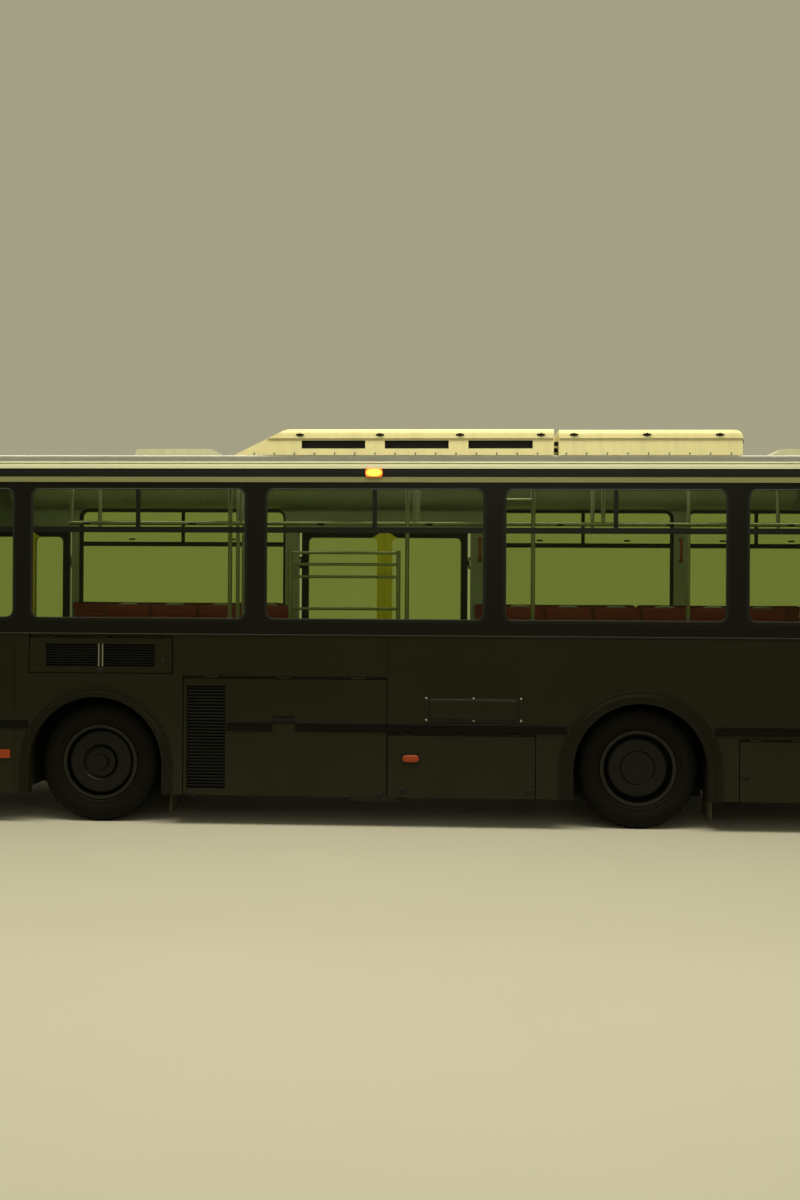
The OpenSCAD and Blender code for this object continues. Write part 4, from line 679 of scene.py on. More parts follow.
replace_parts(put_parts("wiper_arms", parts, [black_plastic, fitting_black], "bus"), "wipers")


# Flaps: sheet steel panels on hinges along their top edges, painted with the body. Grille blades and the handle's
# recess stay black, and so do the bases of the amber markers screwed to the skirt flaps.
HANDLE_RECESS = (1.410, 1.599, 0.806, 0.904)
SKIN = 0.0005
for panel, finishes, recesses in (("engine_door", (body_paint, black_plastic), [HANDLE_RECESS]),
                                  ("locker_flap", (body_paint, black_plastic, zinc), [])):
    dress(panel, *finishes, pick=lambda at, n: np.where(
        at[:, 1] > SIDE_Y + SKIN, len(finishes) - 1, (at[:, 1] < SIDE_Y - SKIN) & np.any(
            [behind(at, *opening) for opening in GRILLES[panel] + recesses], axis=0)))


# Glazing: green tinted toughened panes bonded into black frames with a rubber gasket round each. The upper parts
# are hopper windows over a bar, held shut by two latches inside.
def tinted_glass(name, tint, haze):
    """Glass that colours what is seen through it, under thin dust and a gloss that grows at low angles."""
    f = Finish(name)
    film = f.noise(3, 4, stretch=(1, 1, 0.4))
    clear = f.node("ShaderNodeBsdfTransparent", {"Color": tint})
    gloss = f.node("ShaderNodeBsdfPrincipled", {
        "Base Color": f.mix(film, (0.020, 0.026, 0.014), (0.050, 0.056, 0.036)), "Roughness": 0.03 + 0.05 * film})
    glance = Value(f, f.node("ShaderNodeFresnel", {"IOR": 1.5}).outputs[0])
    both = f.node("ShaderNodeMixShader", {0: haze + 0.04 * film + 0.7 * glance, 1: clear.outputs[0],
                                          2: gloss.outputs[0]})
    f.node("ShaderNodeOutputMaterial", {0: both.outputs[0]})
    return f.material


side_glass = tinted_glass("side_glass", (0.84, 0.90, 0.63), 0.035)
screen_glass = tinted_glass("screen_glass", (0.74, 0.84, 0.62), 0.04)
frame_black = moulded_plastic("frame_black", (0.0035, 0.004, 0.002), (0.0065, 0.007, 0.0035), 0.40, 90)
dress("side_windows", side_glass)
dress("windscreen", screen_glass)
dress("window_frames", frame_black)

LEFT_PANES = [(-1.900, -0.675), (-0.5275, 1.1875), (1.3575, 3.0725), (3.2425, 4.9575), (5.1275, 6.450)]
RIGHT_PANES = [(-0.905, 1.130), (3.2425, 4.9575), (5.1275, 6.450)]
PANE_Z = (1.640, 2.670)
GASKET_IN, GASKET_CORNER, GASKET_R = 0.002, 0.058, 0.0052
HOPPER_LATCH_Z = 2.392


def rounded_path(b0, b1, z0, z1, radius, y, steps=7):
    """Rounded rectangle between two places behind the front axle and two heights, as places on the side at y."""
    turn = np.linspace(0, np.pi / 2, steps)
    centres = [(b1 - radius, z1 - radius, 0), (b0 + radius, z1 - radius, 1), (b0 + radius, z0 + radius, 2),
               (b1 - radius, z0 + radius, 3)]
    return np.vstack([np.column_stack([AXLE_X - cb - radius * np.cos(turn + k * np.pi / 2), np.full(steps, y),
                                       cz + radius * np.sin(turn + k * np.pi / 2)]) for cb, cz, k in centres])


gasket_rubber = worn_finish("gasket_rubber", (0.004, 0.0045, 0.003), (0.010, 0.011, 0.007), 0.30, 0.2, (30, 4),
                            Specular_IOR_Level=0.45)
parts = []
hopper_latch = boss(0.030, 0.009, [(0, 0), (0, 0.010), (0.003, 0.014)], 4, 20)
for side, panes, inward in ((1, LEFT_PANES, RIGHT), (-1, RIGHT_PANES, LEFT)):
    for b0, b1 in panes:
        path = rounded_path(b0 + GASKET_IN, b1 - GASKET_IN, PANE_Z[0] + GASKET_IN, PANE_Z[1] - GASKET_IN,
                            GASKET_CORNER, side * (SIDE_Y - 0.006))
        parts.append((*tube(path, GASKET_R, 8, closed=True), 0))
        parts += fitted(hopper_latch, [at_b(b, side * (SIDE_Y - 0.034), HOPPER_LATCH_Z)
                                       for b in (0.75 * b0 + 0.25 * b1, 0.25 * b0 + 0.75 * b1)], inward, 1)
put_parts("window_gaskets", parts, [gasket_rubber, fitting_black], "bus")


# Doors: aluminium leaves in black satin paint with a full-height pane each, on pins at the outer jambs. Inside, the
# meeting stiles are painted safety yellow.
STILE_REACH = 0.09
SEAL_SHARE = 0.46
door_paint = charcoal_paint("door_paint")
stile_yellow = worn_finish("stile_yellow", (0.90, 0.84, 0.015), (0.76, 0.70, 0.015), 0.34, 0.2, (22, 5),
                           (70, 0.0004, 0.5))
for door in ("front", "mid"):
    meeting = (box(f"door_{door}_fore")[0][0] + box(f"door_{door}_aft")[1][0]) / 2
    for half in ("fore", "aft"):
        dress(f"door_{door}_{half}", door_paint, stile_yellow, pick=lambda at, n: (
            (n[:, 1] > 0.5) & (np.abs(at[:, 0] - meeting) < STILE_REACH)))
        dress(f"pane_{door}_{half}", side_glass)
        # Finger guards: a black rubber tube outside and a yellow one inside, half as thick as the gap they close
        low, high = box(f"door_{door}_{half}")
        edge = low[0] if half == "fore" else high[0]
        gap = box(f"door_{door}_fore")[0][0] - box(f"door_{door}_aft")[1][0]
        column = np.array([[edge, 0, z] for z in (low[2] + 0.015, high[2] - 0.015)])
        put_parts(f"seal_{door}_{half}", [(*tube(column + [0, -SIDE_Y + 0.013, 0], SEAL_SHARE * gap, 12), 0),
                                          (*tube(column + [0, high[1] - 0.006, 0], SEAL_SHARE * gap, 12), 1)],
                  [gasket_rubber, stile_yellow], f"door_{door}_{half}")


# Lamps: ribbed covers moulded in clear, red or amber plastic over chromed bowls, pressed into the panels or screwed
# on. Only the lamp on the left roof edge is lit.
def lamp_cover(name, colour, alpha=1.0, coat=0.4):
    """Moulded plastic with fine level ribs, a sine of the height."""
    f = Finish(name)
    ribs = (f.z * 900).sine() * 0.5 + 0.5
    normal = f.bump(ribs, 0.0006, 0.8)
    return f.surface(f.mix(ribs * 0.35, colour, tuple(0.6 * c for c in colour)), 0.12 + 0.06 * ribs, normal,
                     Coat_Weight=coat, Specular_IOR_Level=0.3, Alpha=alpha)


clear_cover = lamp_cover("clear_cover", (0.62, 0.64, 0.62), alpha=0.55)
red_cover = lamp_cover("red_cover", (0.42, 0.012, 0.008))
amber_cover = lamp_cover("amber_cover", (0.30, 0.040, 0.0006), coat=0.08)
f = Finish("amber_lit")
LIT_B, LIT_Z = 2.208, 2.797
along, above = f.x - (AXLE_X - LIT_B), f.z - LIT_Z
from_bulb = along * along * 210 + above * above * 900
lit_colour = f.mix(from_bulb.ramp(0.15, 1.1), (1.0, 0.72, 0.05), (1.0, 0.13, 0.006))
amber_lit = f.surface(f.mix(from_bulb.ramp(0.2, 1.2), (0.9, 0.5, 0.05), (0.7, 0.10, 0.01)), 0.15,
                      Emission_Color=lit_colour, Emission_Strength=1.6)
dress("front_lamps", clear_cover)
reverse_cover = lamp_cover("reverse_cover", (0.50, 0.50, 0.46))
REVERSE_TOP_Z, AMBER_TOP_Z = 0.74, 0.90
dress("rear_lamps", red_cover, amber_cover, reverse_cover,
      pick=lambda at, n: np.select([at[:, 2] < REVERSE_TOP_Z, at[:, 2] < AMBER_TOP_Z], [2, 1], 0))
# Bowls and bulbs inside the headlamps, and rings round the tail lamps
lamp_chrome = worn_finish("lamp_chrome", (0.80, 0.80, 0.76), (0.62, 0.62, 0.58), 0.10, 0.15, (20, 3), Metallic=1.0)
HEADLAMP_Z, HEADLAMPS = 0.720, ((0.895, 0.0), (1.030, 0.030))
TAIL_LAMP_Y, TAIL_LAMPS_Z = 1.090, (0.640, 0.820, 1.000)
MARKER_Z = 0.5525
lens_x = box("front_lamps")[1][0]
bowl = turned([(0.066, 0), (0.066, 0.006), (0.060, 0.006), (0.054, -0.004), (0.040, -0.012), (0.020, -0.017),
               (0.011, -0.017), (0.011, 0.002), (0.006, 0.005)], 36)
lamp_at = [(lens_x - 0.052 - step, side * y, HEADLAMP_Z) for side in (-1, 1) for y, step in HEADLAMPS]
put_parts("headlamp_bowls", fitted(bowl, lamp_at, FRONT), [lamp_chrome], "bus")
ring = turned([(0.076, 0), (0.076, 0.005), (0.073, 0.008), (0.066, 0.008), (0.064, 0.004), (0.064, 0.001)], 44)
tail_x = box("rear_lamps")[0][0]
put_parts("tail_lamp_rings", fitted(
    ring, [(tail_x + 0.004, side * TAIL_LAMP_Y, z) for side in (-1, 1) for z in TAIL_LAMPS_Z], REAR),
    [fitting_black], "bus")
dress("marker_lamps", amber_cover, amber_lit, pick=lambda at, n: (at[:, 1] > 0) & (at[:, 2] > 2.0))
marker_lens = boss(0.064, 0.0285, [(0, 0), (0, 0.003), (0.005, 0.007), (0.014, 0.009)], 3.2, 36)
for panel, marker_b in (("skirt_flap_mid", 2.510), ("skirt_flap_rear", 5.757)):
    dress(panel, body_paint, black_plastic, pick=lambda at, n: at[:, 1] > SIDE_Y + 0.001)
    put_parts(f"marker_{panel}", fitted(marker_lens, [at_b(marker_b, SIDE_Y + 0.009, MARKER_Z)], LEFT),
              [amber_cover], panel)


# Running gear: forged axles, cast hubs and welded brackets under black chassis paint, bolted to the frame with air
# springs between them, and dulled by road film. The wheel boxes are of the same black where they face a wheel.
def road_black(name, first=(0.006, 0.006, 0.004), second=(0.024, 0.021, 0.012), roughness=0.6):
    """Paint or rubber under a gritty film."""
    return worn_finish(name, first, second, roughness, 0.25, (7, 6), (160, 0.0009, 0.7), Specular_IOR_Level=0.25)


chassis_paint = road_black("chassis_paint")
rubber_dull = road_black("rubber_dull", (0.010, 0.010, 0.010), (0.040, 0.037, 0.030), 0.7)
cast_iron = road_black("cast_iron", (0.035, 0.034, 0.032), (0.085, 0.075, 0.060), 0.65)
tank_paint = road_black("tank_paint", (0.030, 0.030, 0.028), (0.070, 0.064, 0.050), 0.45)
ARCH_REACH = 0.602


def in_arch(at, n):
    """Which faces of the housings look into a wheel opening."""
    dx = at[:, 0] - np.where(at[:, 0] > AXLE_X - REAR_AXLE_B / 2, AXLE_X, AXLE_X - REAR_AXLE_B)
    towards = 0.5 * n[:, 1] * np.sign(at[:, 1]) - n[:, 0] * dx - n[:, 2] * (at[:, 2] - AXLE_Z)
    return (np.abs(dx) < ARCH_REACH) & (towards > 0.02)


dress("inner_housings", dark_lining, chassis_paint, pick=in_arch)
for name in ("underframe", "front_axle", "knuckle_left", "knuckle_right", "tie_rod", "rear_axle"):
    dress(name, chassis_paint)
dress("suspension", rubber_dull)
dress("mud_flaps", road_black("flap_rubber", (0.020, 0.018, 0.009), (0.050, 0.044, 0.024), 0.7))
dress("engine_block", cast_iron)
dress("tanks", tank_paint)


# Wheels: pressed steel discs welded into rolled rims, in black paint; along the rim's edge it is lighter and
# glossier, partly rubbed paint and partly a painted highlight. The front ones have a domed ring round the hub, the
# rear ones are dished; each is held by its nuts on the hub.
STATIONS = ("front_left", "front_right", "rear_left", "rear_right")
RIM_EDGE_SQUARED = 0.0738, 0.0768
f = Finish("wheel_black")
film = f.noise(7, 6)
from_front, from_rear, high = f.x - AXLE_X, f.x - AXLE_X + REAR_AXLE_B, f.z - AXLE_Z
squared = (from_front * from_front).min(from_rear * from_rear) + high * high
# Rim's edge: a lighter colour and more coat, partly rubbed paint and partly a painted highlight
rim_rub_and_highlight = squared.ramp(*RIM_EDGE_SQUARED)
painted = f.mix(film, (0.0032, 0.0032, 0.0018), (0.0075, 0.0070, 0.0038))
wheel_black = f.surface(f.mix(rim_rub_and_highlight, painted, (0.009, 0.0085, 0.005)), 0.30 + 0.15 * film,
                        f.bump(f.noise(160, 2), 0.0003, 0.6), Specular_IOR_Level=0.15,
                        Coat_Weight=0.03 + 0.15 * rim_rub_and_highlight, Coat_Roughness=0.2)
for station in STATIONS:
    dress(f"wheel_{station}", wheel_black)


# Tyres: low-section bus tyres of black rubber, moulded with four rain grooves, blocks along the shoulders and ribbed
# side walls, seated on the rims; the rear ones are twins.
TYRE_R = front_wheel[2]
TYRE_HALF = (box("tyre_front_left")[1] - box("tyre_front_left")[0])[1] / 2
BEAD_R = 0.288
TURNS = 320
SHOULDER_BLOCKS = 80
TWIN_PITCH = 0.310


def tyre_surface(centre):
    """Ring swept about the axle: the radius and the offset along the axle follow the tyre's cross section, and on
    the shoulders the radius also drops at every block gap, a square wave of the angle."""
    side = np.array([  # radius, offset along the axle, from the bead to the shoulder
        [BEAD_R, 0.098], [0.303, 0.101], [0.309, 0.112], [0.318, 0.118], [0.332, 0.1225], [0.334, 0.1215],
        [0.338, 0.1215], [0.340, 0.1245], [0.352, 0.1290], [0.366, 0.1335], [0.381, TYRE_HALF], [0.396, TYRE_HALF],
        [0.410, 0.1362], [0.4115, 0.1352], [0.4145, 0.1350], [0.416, 0.1354], [0.428, 0.1335], [0.430, 0.1318],
        [0.433, 0.1315], [0.435, 0.1325], [0.448, 0.1275], [0.459, 0.1205], [0.468, 0.1125], [0.4735, 0.1040]])
    tread = [[0.4760, 0.0960], [0.4764, 0.0790]]
    for groove in (0.0690, 0.0235):
        tread += [[0.4768, groove + 0.0062], [0.4652, groove + 0.0045], [0.4652, groove - 0.0045],
                  [0.4770, groove - 0.0062]]
    half = np.vstack([side, tread])
    section = np.vstack([half, half[::-1] * [1, -1]])
    radius, offset = section[:, 0], section[:, 1]
    angle = np.linspace(0, 2 * np.pi, TURNS, endpoint=False)
    shoulder = (radius > 0.4555) & (np.abs(offset) > 0.078)
    gap = (np.arange(TURNS) % (TURNS // SHOULDER_BLOCKS)) == 0
    depth = np.where(shoulder, 0.0075, 0.0)[None, :] * gap[:, None]
    r = radius[None, :] - depth
    return ring_shell(np.stack([centre[0] + r * np.cos(angle)[:, None], centre[1] + np.broadcast_to(offset, r.shape),
                                centre[2] + r * np.sin(angle)[:, None]], axis=-1), True)


rubber = worn_finish("tyre_rubber", (0.0022, 0.0020, 0.0008), (0.0058, 0.0050, 0.0024), 0.56, 0.2, (8, 5),
                     (220, 0.0005, 0.7), Specular_IOR_Level=0.10)
for station in STATIONS:
    low, high = box(f"tyre_{station}")
    side = 1 if high[1] > 0 else -1
    outer = (high[1] if side > 0 else low[1]) - side * TYRE_HALF
    twin = "rear" in station
    body = f"wheels_{station}" if twin else f"wheel_{station}"
    for number, middle in enumerate([outer, outer - side * TWIN_PITCH] if twin else [outer]):
        points, faces = tyre_surface([(low[0] + high[0]) / 2, middle, TYRE_R])
        tyre = put_mesh(f"tyre_{station}_{number + 1}", points, faces, [rubber], body, sharp=32)
        if number == 0:
            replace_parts(tyre, f"tyre_{station}")


# Cabin floor: sheet vinyl with moulded studs, glued over plywood and worn along the aisle. The plywood is screwed
# to the floor frames.
f = Finish("floor_vinyl")
studs = (f.x * 180).sine() * (f.y * 180).sine()
floor_wear = f.noise(3, 5)
dress("floor_deck", f.surface(f.mix(floor_wear, (0.060, 0.060, 0.054), (0.100, 0.098, 0.088)), 0.5 + 0.2 * floor_wear,
                              f.bump(studs.ramp(0.2, 0.6), 0.0012, 0.8)))


# Ceiling: air ducts of painted sheet in the corners over the windows, with a row of nozzles, and two rows of ribbed
# opal lamp covers in aluminium frames, all screwed up from below.
DUCT_WALL_Y, DUCT_TOP_Z, DUCT_WIDE, DUCT_HIGH = 1.205, 2.915, 0.275, 0.215
duct_turn = np.radians(np.linspace(-90, -180, 14))
nozzle = turned([(0.030, -0.004), (0.030, 0.005), (0.025, 0.009), (0.021, 0.009), (0.019, 0.003), (0.006, 0.005),
                 (0.004, 0.008)], 20)
parts = []
for side in (-1, 1):
    outline = [(side * (DUCT_WALL_Y + DUCT_WIDE * math.cos(t)), DUCT_TOP_Z + DUCT_HIGH * math.sin(t))
               for t in duct_turn]
    outline += [(side * (DUCT_WALL_Y - 0.15), DUCT_TOP_Z), (side * DUCT_WALL_Y, DUCT_TOP_Z - 0.03)]
    parts.append((*extruded(outline, AXLE_X - 6.1, AXLE_X + 1.55), 0))
    facing = ((1, 0, 0), (0, -side * 0.707, 0.707), (0, -side * 0.707, -0.707))
    spots = [at_b(b, side * (DUCT_WALL_Y - 0.7071 * DUCT_WIDE), DUCT_TOP_Z - 0.7071 * DUCT_HIGH)
             for b in np.arange(-1.2, 6.0, 0.8)]
    parts += fitted(nozzle, spots, facing, 1)
put_parts("air_ducts", parts, [ceiling_lining, wall_lining], "bus")

f = Finish("opal_cover")
ribbed = (f.x * 700).sine() * 0.5 + 0.5
opal_cover = f.surface(f.mix(ribbed, (0.80, 0.82, 0.74), (0.70, 0.72, 0.64)), 0.35, f.bump(ribbed, 0.0008, 0.6),
                       Emission_Color=(1.0, 0.97, 0.80), Emission_Strength=3.6)
LAMP_Y, LAMP_Z = 0.55, 2.949
frame_form = boss(0.46, 0.085, [(0, 0.0), (0, 0.030), (0.012, 0.036), (0.016, 0.030)], 30, 48)
cover_form = boss(0.440, 0.066, [(0, 0.024), (0, 0.034), (0.010, 0.046), (0.030, 0.050)], 30, 48)
parts = []
for side in (-1, 1):
    slope = math.radians(3 * side)
    under = ((1, 0, 0), (0, math.cos(slope), -math.sin(slope)), (0, -math.sin(slope), -math.cos(slope)))
    spots = [at_b(b, side * LAMP_Y, LAMP_Z) for b in np.arange(-0.9, 6.2, 1.12)]
    parts += fitted(frame_form, spots, under) + fitted(cover_form, spots, under, 1)
put_parts("ceiling_lamps", parts, [rail_aluminium, opal_cover], "bus")


# Poles and rails: brushed stainless tube clamped between the floor and the ceiling, with a guard of bars round the
# luggage shelf over the engine.
rail_steel = worn_finish("rail_steel", (0.36, 0.36, 0.33), (0.52, 0.52, 0.48), 0.28, 0.15, (60, 4),
                         stretch=(6, 6, 0.5), Metallic=0.9)
dress("grab_rails", rail_steel)
pole_flange = turned([(0.046, 0), (0.046, 0.005), (0.026, 0.011), (0.0225, 0.016), (0.0225, 0.055),
                      (0.0185, 0.058)], 28)
UNDER = (1, 0, 0), (0, -1, 0), (0, 0, -1)
POLES = ((0.94, 0.59), (0.895, -0.025), (0.84, -0.62), (2.44, 0.52), (3.5, 0.56), (4.9, -0.025))
CEILING_Z, CEILING_FALL = 2.968, 0.055 / 0.6
parts = fitted(pole_flange, [at_b(b, y, CEILING_Z - CEILING_FALL * y * y) for b, y in POLES], UNDER)

# Door releases: red bowed handles on the right wall behind the doors
release_red = worn_finish("release_red", (0.34, 0.050, 0.008), (0.26, 0.036, 0.006), 0.4, 0.1, (18, 3),
                          Coat_Weight=0.2)
RELEASES_B, RELEASE_Y, RELEASE_Z, RELEASE_HALF = (3.085, 5.045), -1.212, 2.300, 0.105
bow = np.linspace(0, np.pi, 17)
for b in RELEASES_B:
    path = np.column_stack([np.full(17, AXLE_X - b), RELEASE_Y + 0.052 * np.sin(bow) ** 0.45,
                            RELEASE_Z - RELEASE_HALF * np.cos(bow)])
    parts.append((*tube(path, 0.0125, 12), 1))
    parts += fitted(boss(0.020, 0.016, [(0, 0), (0, 0.010), (0.004, 0.014)], 4, 24),
                    [at_b(b, RELEASE_Y - 0.002, RELEASE_Z + dz) for dz in (-RELEASE_HALF, RELEASE_HALF)], LEFT, 1)
put_parts("pole_fittings", parts, [rail_steel, release_red], "bus")


# Seats: upholstered foam pads, maroon moquette for the passengers and dark cloth for the driver, each with a welt
# round its edge and sewn channels. They are fixed to pressed plastic shells on steel legs, with a grab bar behind.
SEAT_RISE = 0.056
SHELL_THICK = 0.010
BEND_U, BEND_R = -0.120, 0.060
RECLINE = math.radians(8)
BACK_DIRECTION = np.array([-math.sin(RECLINE), 0, math.cos(RECLINE)])
BACK_NORMAL = np.array([math.cos(RECLINE), 0, math.sin(RECLINE)])


def pad_form(half_long, half_wide, thick, seam_high, long_seams, wide_seams, square=9):
    """Closed pillow of two sheets that meet in a seam: over p and q from -1 to 1 the plan is a rounded rectangle,
    pulled in by 2% between its corners, and the upper sheet stands at the thickness times the product of
    (1 - p^6) and (1 - q^6) to the power 0.35. The sewn channels are dips along fixed p or q."""
    def places(seams):
        """Grid lines over -1 to 1, denser towards the edges and beside each channel."""
        even = np.sin(np.linspace(-1, 1, 25) * np.pi / 2)
        near = np.ravel([[c - 0.035, c - 0.018, c, c + 0.018, c + 0.035] for c in seams])
        return np.unique(np.round(np.concatenate([even, near]), 4)) if len(near) else even
    p, q = np.meshgrid(places(long_seams), places(wide_seams), indexing="ij")
    reach = np.maximum(np.abs(p), np.abs(q))
    rounding = reach / np.maximum((np.abs(p) ** square + np.abs(q) ** square) ** (1 / square), 1e-6)
    rounding[reach == 0] = 1
    u = half_long * p * rounding * (1 - 0.02 * (1 - q ** 2) * p ** 4)
    w = half_wide * q * rounding * (1 - 0.02 * (1 - p ** 2) * q ** 4)
    rise = ((1 - np.abs(p) ** 6) * (1 - np.abs(q) ** 6)).clip(0) ** 0.35
    sag = ((1 - np.abs(p) ** 10) * (1 - np.abs(q) ** 10)).clip(0) ** 0.35
    upper = np.stack([u, w, seam_high + (thick - seam_high) * rise], axis=-1)
    lower = np.stack([u, w, seam_high * (1 - sag)], axis=-1)
    rim = np.zeros(p.shape, bool)
    rim[[0, -1], :] = rim[:, [0, -1]] = True
    index = np.arange(p.size).reshape(p.shape)
    below = index.copy()
    below[~rim] = p.size + np.arange((~rim).sum())
    points = np.vstack([upper.reshape(-1, 3), lower[~rim]])
    edge = np.concatenate([index[0, :-1], index[:-1, -1], index[-1, :0:-1], index[:0:-1, 0]])
    dip = np.zeros(p.shape)
    for across, seams, half in ((p, long_seams, half_long), (q, wide_seams, half_wide)):
        for c in seams:
            dip = np.maximum(dip, np.exp(-(((across - c) * half) / 0.0065) ** 2))
    return points, [grid_faces(index), grid_faces(below)[:, ::-1]], edge, (dip * rise).ravel()


def plumped(points, faces, edge, most):
    """Blows the pillow up with Cloth, its seam and its lower sheet held, and keeps each point within most of where it
    started."""
    trial = linked("pad_cloth", mesh_of("pad_cloth", points, faces))
    held = np.unique(np.concatenate([edge, np.unique(faces[1])]))
    trial.vertex_groups.new(name="held").add(held.tolist(), 1.0, "REPLACE")
    cloth = trial.modifiers.new("cloth", "CLOTH")
    cloth.settings.vertex_group_mass = "held"
    cloth.settings.use_pressure = True
    cloth.settings.uniform_pressure_force = 5
    cloth.settings.tension_stiffness = cloth.settings.compression_stiffness = 12
    cloth.settings.bending_stiffness = 0.6
    cloth.settings.effector_weights.gravity = 0
    for step in range(1, 15):
        bpy.context.scene.frame_set(step)
    solved = trial.evaluated_get(bpy.context.evaluated_depsgraph_get()).data
    moved = np.empty(len(points) * 3)
    solved.vertices.foreach_get("co", moved)
    bpy.context.scene.frame_set(1)
    bpy.data.objects.remove(trial)
    shift = moved.reshape(-1, 3) - points
    size = np.linalg.norm(shift, axis=1)[:, None]
    return points + shift * np.minimum(1, most / np.maximum(size, 1e-9))


def pad(half_long, half_wide, thick, long_seams, wide_seams, square=9):
    """A finished pad in its own frame: the blown-up pillow, its channels pressed in by 6 mm, and a welt of 3.5 mm
    round the seam."""
    points, faces, edge, dip = pad_form(half_long, half_wide, thick - 0.008, 0.016, long_seams, wide_seams, square)
    points = plumped(points, faces, edge, 0.009)
    points[:len(dip), 2] -= 0.006 * dip
    return joined((points, faces, 0), (*tube(points[edge], 0.0035, 6, closed=True), 1))


def moquette(name, ground, fleck, welt=False):
    """Short cut pile: two colours of thread in a fine check, worn paler, with the pile's own sheen."""
    if welt:
        return worn_finish(name, ground, fleck, 0.55, wear=(80, 2), grain=(240, 0.0005, 1.0))
    f = Finish(name)
    thread = ((f.x * 1900).sine() * (f.y * 1900).sine() * (f.z * 1900).sine()).ramp(-0.4, 0.4)
    worn = f.noise(7, 4)
    colour = f.mix(worn, f.mix(thread * 0.5, ground, fleck), tuple(1.25 * c for c in ground))
    return f.surface(colour, 0.9 - 0.1 * worn, f.bump(f.noise(700, 2) + 0.4 * thread, 0.0006, 0.7),
                     Sheen_Weight=0.35, Sheen_Roughness=0.4)


def seat_shell(half_wide):
    """Sheet bent along the seat's side outline: s runs under the squab, round the bend and up the back, t runs
    across; the half width falls off as a quarter circle over the last 90 mm at each end, and the sheet curls
    forward by 14 mm times t^6 at its sides. A second sheet behind it closes the shell."""
    low = SEAT_RISE - 0.006
    squab = np.stack([np.linspace(0.236, BEND_U, 24), np.full(24, -low)], axis=1)
    turn = np.radians(np.linspace(-90, -172, 12))[1:]
    bend = np.stack([BEND_U + (BEND_R + low) * np.cos(turn), BEND_R + (BEND_R + low) * np.sin(turn)], axis=1)
    back = bend[-1] + np.linspace(0, 0.505, 28)[1:, None] * BACK_DIRECTION[[0, 2]]
    line = np.vstack([squab, bend, back])
    along = np.concatenate([[0], np.cumsum(np.linalg.norm(np.diff(line, axis=0), axis=1))])
    facing = unit_length(np.gradient(line, axis=0)[:, ::-1] * [1, -1])
    near_end = np.minimum(along, along[-1] - along).clip(0, 0.09)
    width = half_wide - 0.09 + np.sqrt(0.09 ** 2 - (0.09 - near_end) ** 2)
    t = np.sin(np.linspace(-1, 1, 17) * np.pi / 2)
    curl = 0.014 * t ** 6
    sheets = []
    for depth in (0, SHELL_THICK):
        flat = line[:, None] + (curl - depth)[None, :, None] * facing[:, None]
        sheets.append(np.stack([flat[..., 0], width[:, None] * t[None, :], flat[..., 1]], axis=-1))
    index = np.arange(2 * sheets[0][..., 0].size).reshape(2, *sheets[0].shape[:2])
    ring = [np.concatenate([k[0, :], k[1:, -1], k[-1, -2::-1], k[-2:0:-1, 0]]) for k in index]
    return (np.vstack([sheet.reshape(-1, 3) for sheet in sheets]),
            [grid_faces(index[0]), grid_faces(index[1])[:, ::-1], grid_faces(np.array(ring), columns_closed=True)])


def leg(height, foot, head):
    """Pressed steel leg: over the height h, a rounded rectangle whose half sizes go from foot to head as h^0.5,
    closed at both ends."""
    h = np.linspace(0, 1, 14)
    half_u, half_w = (foot[k] + (head[k] - foot[k]) * h ** 0.5 for k in (0, 1))
    return boss(half_u, half_w, np.column_stack([0 * h, height * h]), 6, 32)


maroon = moquette("maroon_moquette", (0.165, 0.010, 0.006), (0.235, 0.026, 0.012))
maroon_welt = moquette("maroon_welt", (0.045, 0.010, 0.008), (0.07, 0.014, 0.010), welt=True)
seat_plastic = moulded_plastic("seat_plastic", (0.030, 0.030, 0.028), (0.048, 0.047, 0.043), 0.5, 200, 0.0006)
seat_leg_paint = moulded_plastic("seat_leg_paint", (0.045, 0.045, 0.042), (0.07, 0.069, 0.063), 0.4, 60)
squab_pad = pad(0.184, 0.220, 0.066, [0.62], [-0.6, 0.6])
back_pad = pad(0.240, 0.229, 0.060, [0.50], [-0.6, 0.6], 20)
shell_form = seat_shell(0.229)
BACK_START = np.array([BEND_U + (BEND_R + 0.046) * math.cos(math.radians(-172)), 0,
                       BEND_R + (BEND_R + 0.046) * math.sin(math.radians(-172))])


def seat_pieces(name, at, height, finishes, squab, back, shell, facing=0):
    """One seat: at is the middle of the squab's top, facing the turn from looking forward in degrees. Its pads lie on
    the shell and its leg stands on what carries it. Returns the shell with the leg, for the caller to name what it
    stands for."""
    turn = math.radians(facing)
    axes = np.array([[math.cos(turn), math.sin(turn), 0], [-math.sin(turn), math.cos(turn), 0], [0, 0, 1]])
    upright, outward = BACK_DIRECTION @ axes, BACK_NORMAL @ axes
    parts = [(placed(shell[0], at, *axes), shell[1], 0)]
    leg_points, leg_faces = leg(height - SEAT_RISE + 0.004, (0.070, 0.060), (0.042, 0.036))
    parts.append((placed(leg_points + [0.015, 0, -height], at, *axes), leg_faces, 1))
    sweep = np.linspace(0, np.pi, 15)
    bar = np.stack([np.zeros(15), 0.11 * np.cos(sweep), 0.045 * np.sin(sweep) ** 0.6], axis=1)
    back_foot = at + BACK_START @ axes
    bar_at = back_foot + upright * 0.470 - outward * 0.004
    parts.append((*tube(placed(bar, bar_at, outward, axes[1], upright), 0.0115, 10), 2))
    frame_piece = put_parts(f"{name}_shell", parts, [seat_plastic, seat_leg_paint, rail_steel], "bus")
    for part, form, where, lie in (
            ("squab", squab, at + np.array([0.052, 0, -0.052]) @ axes, axes),
            ("back", back, back_foot + upright * 0.266 + outward * 0.001, (upright, axes[1], outward))):
        cushion = put_mesh(f"{name}_{part}", placed(form[0], where, *lie), form[1], finishes, "bus",
                           form[2], sharp=60)
    return frame_piece


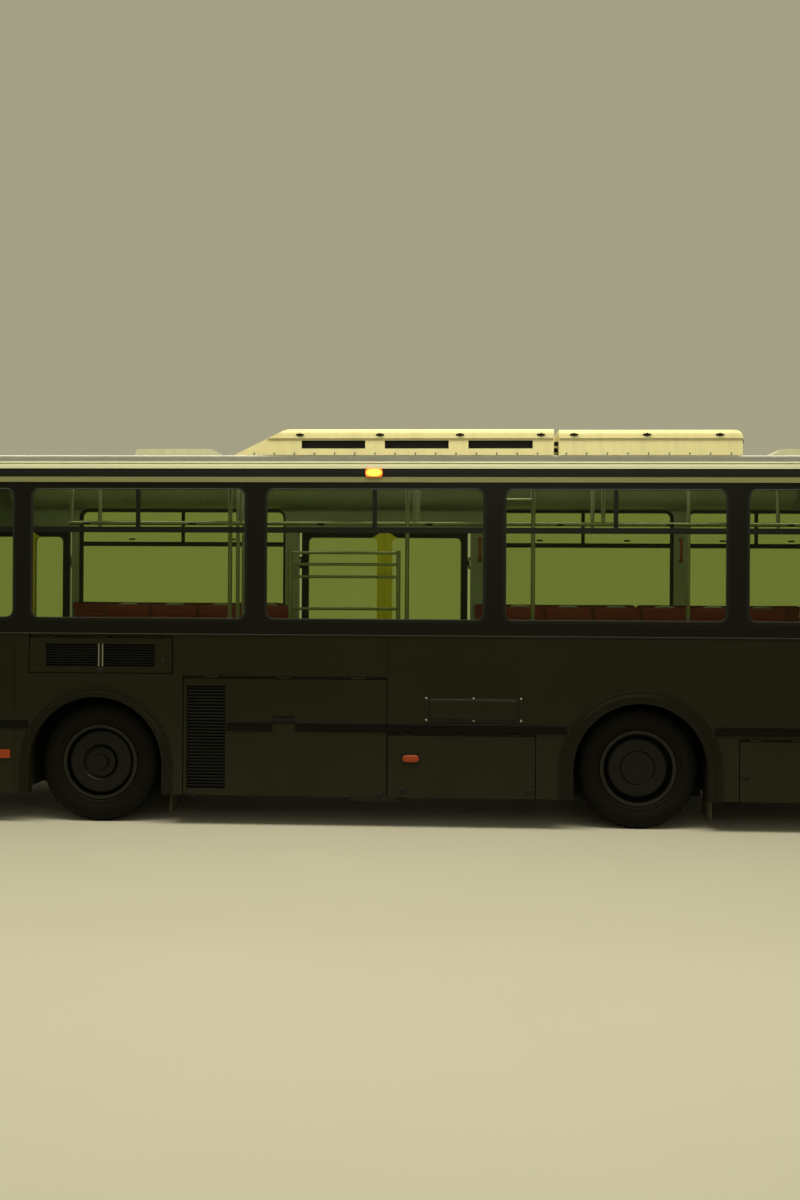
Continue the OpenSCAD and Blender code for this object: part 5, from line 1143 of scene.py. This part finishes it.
# Passenger seats stand in rows: place of the first behind the front axle, pitch, number in the row, place across,
# height of what carries them, height of the squab above that, and turn. The right side's seats face the aisle.
FLOOR = 0.340
DECK = 1.060
WHEELBASE = AXLE_X - (box("tyre_rear_left")[0][0] + box("tyre_rear_left")[1][0]) / 2
TAIL_B = AXLE_X - box("side_wall_left")[0][0]
SEAT_PITCH = 0.470
low_h, high_h = 0.073 + SEAT_RISE, 0.380 + SEAT_RISE
rows = [(-0.420, SEAT_PITCH, 4, -0.895, DECK, low_h, 90),
        (WHEELBASE + 0.120 - 2 * SEAT_PITCH, SEAT_PITCH, 6, -0.895, DECK, low_h, 90),
        (2.800, 0.600, 2, 0.895, FLOOR, high_h, -90),
        (WHEELBASE + 1.000, TAIL_B - 0.530 - WHEELBASE - 1.000, 2, 0.850, FLOOR, high_h, 0)]
places = [(b + k * pitch, y, base, height, facing) for b, pitch, count, y, base, height, facing in rows
          for k in range(count)]
for number, (b, y, base, height, facing) in enumerate(places, 1):
    made = seat_pieces(f"seat_{number}", at_b(b, y, base + height), height, [maroon, maroon_welt],
                       squab_pad, back_pad, shell_form, facing)
    if number == 1:
        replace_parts(made, "passenger_seats")


# Wall pads: foam panels covered in the seats' maroon moquette, screwed to the right wall at the height of the
# shoulders behind the seats that face the aisle, with a sewn channel at each seat.
WALL_PAD_HIGH, WALL_PAD_THICK, WALL_PAD_Y, WALL_PAD_Z = 0.229, 0.030, -1.211, 1.531
for number, (b0, b1) in enumerate(((-0.985, 1.150), (3.030, 4.605), (4.615, 6.200)), 1):
    channels = list(np.linspace(-1, 1, 2 + round((b1 - b0) / SEAT_PITCH))[1:-1])
    points, faces, which = pad((b1 - b0) / 2, WALL_PAD_HIGH, WALL_PAD_THICK, channels, [0.55], 30)
    panel = put_mesh(f"wall_pad_{number}", placed(points, at_b((b0 + b1) / 2, WALL_PAD_Y, WALL_PAD_Z), *LEFT), faces,
                     [maroon, maroon_welt], "bus", which, sharp=60)


# Driver's place: a wider seat in dark cloth, bolted on a pedestal of painted steel, behind a dashboard moulded in
# dark grained plastic.
driver_cloth = moquette("driver_cloth", (0.020, 0.021, 0.027), (0.045, 0.046, 0.055))
driver_welt = moquette("driver_welt", (0.012, 0.012, 0.014), (0.02, 0.02, 0.022), welt=True)
DRIVER_B, DRIVER_Y, DRIVER_DECK, DRIVER_HIGH = -1.250, 0.720, 0.490, 0.320 + SEAT_RISE
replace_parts(seat_pieces("driver_seat_made", at_b(DRIVER_B, DRIVER_Y, DRIVER_DECK + DRIVER_HIGH), DRIVER_HIGH,
                        [driver_cloth, driver_welt],
                        pad(0.184, 0.226, 0.070, [0.62], [-0.6, 0.6]), pad(0.228, 0.220, 0.068, [0.55], [-0.6, 0.6]),
                        seat_shell(0.236)), "driver_seat")
dress("dashboard", moulded_plastic("dash_plastic", (0.022, 0.022, 0.020), (0.035, 0.034, 0.031), 0.55, 160, 0.0008))
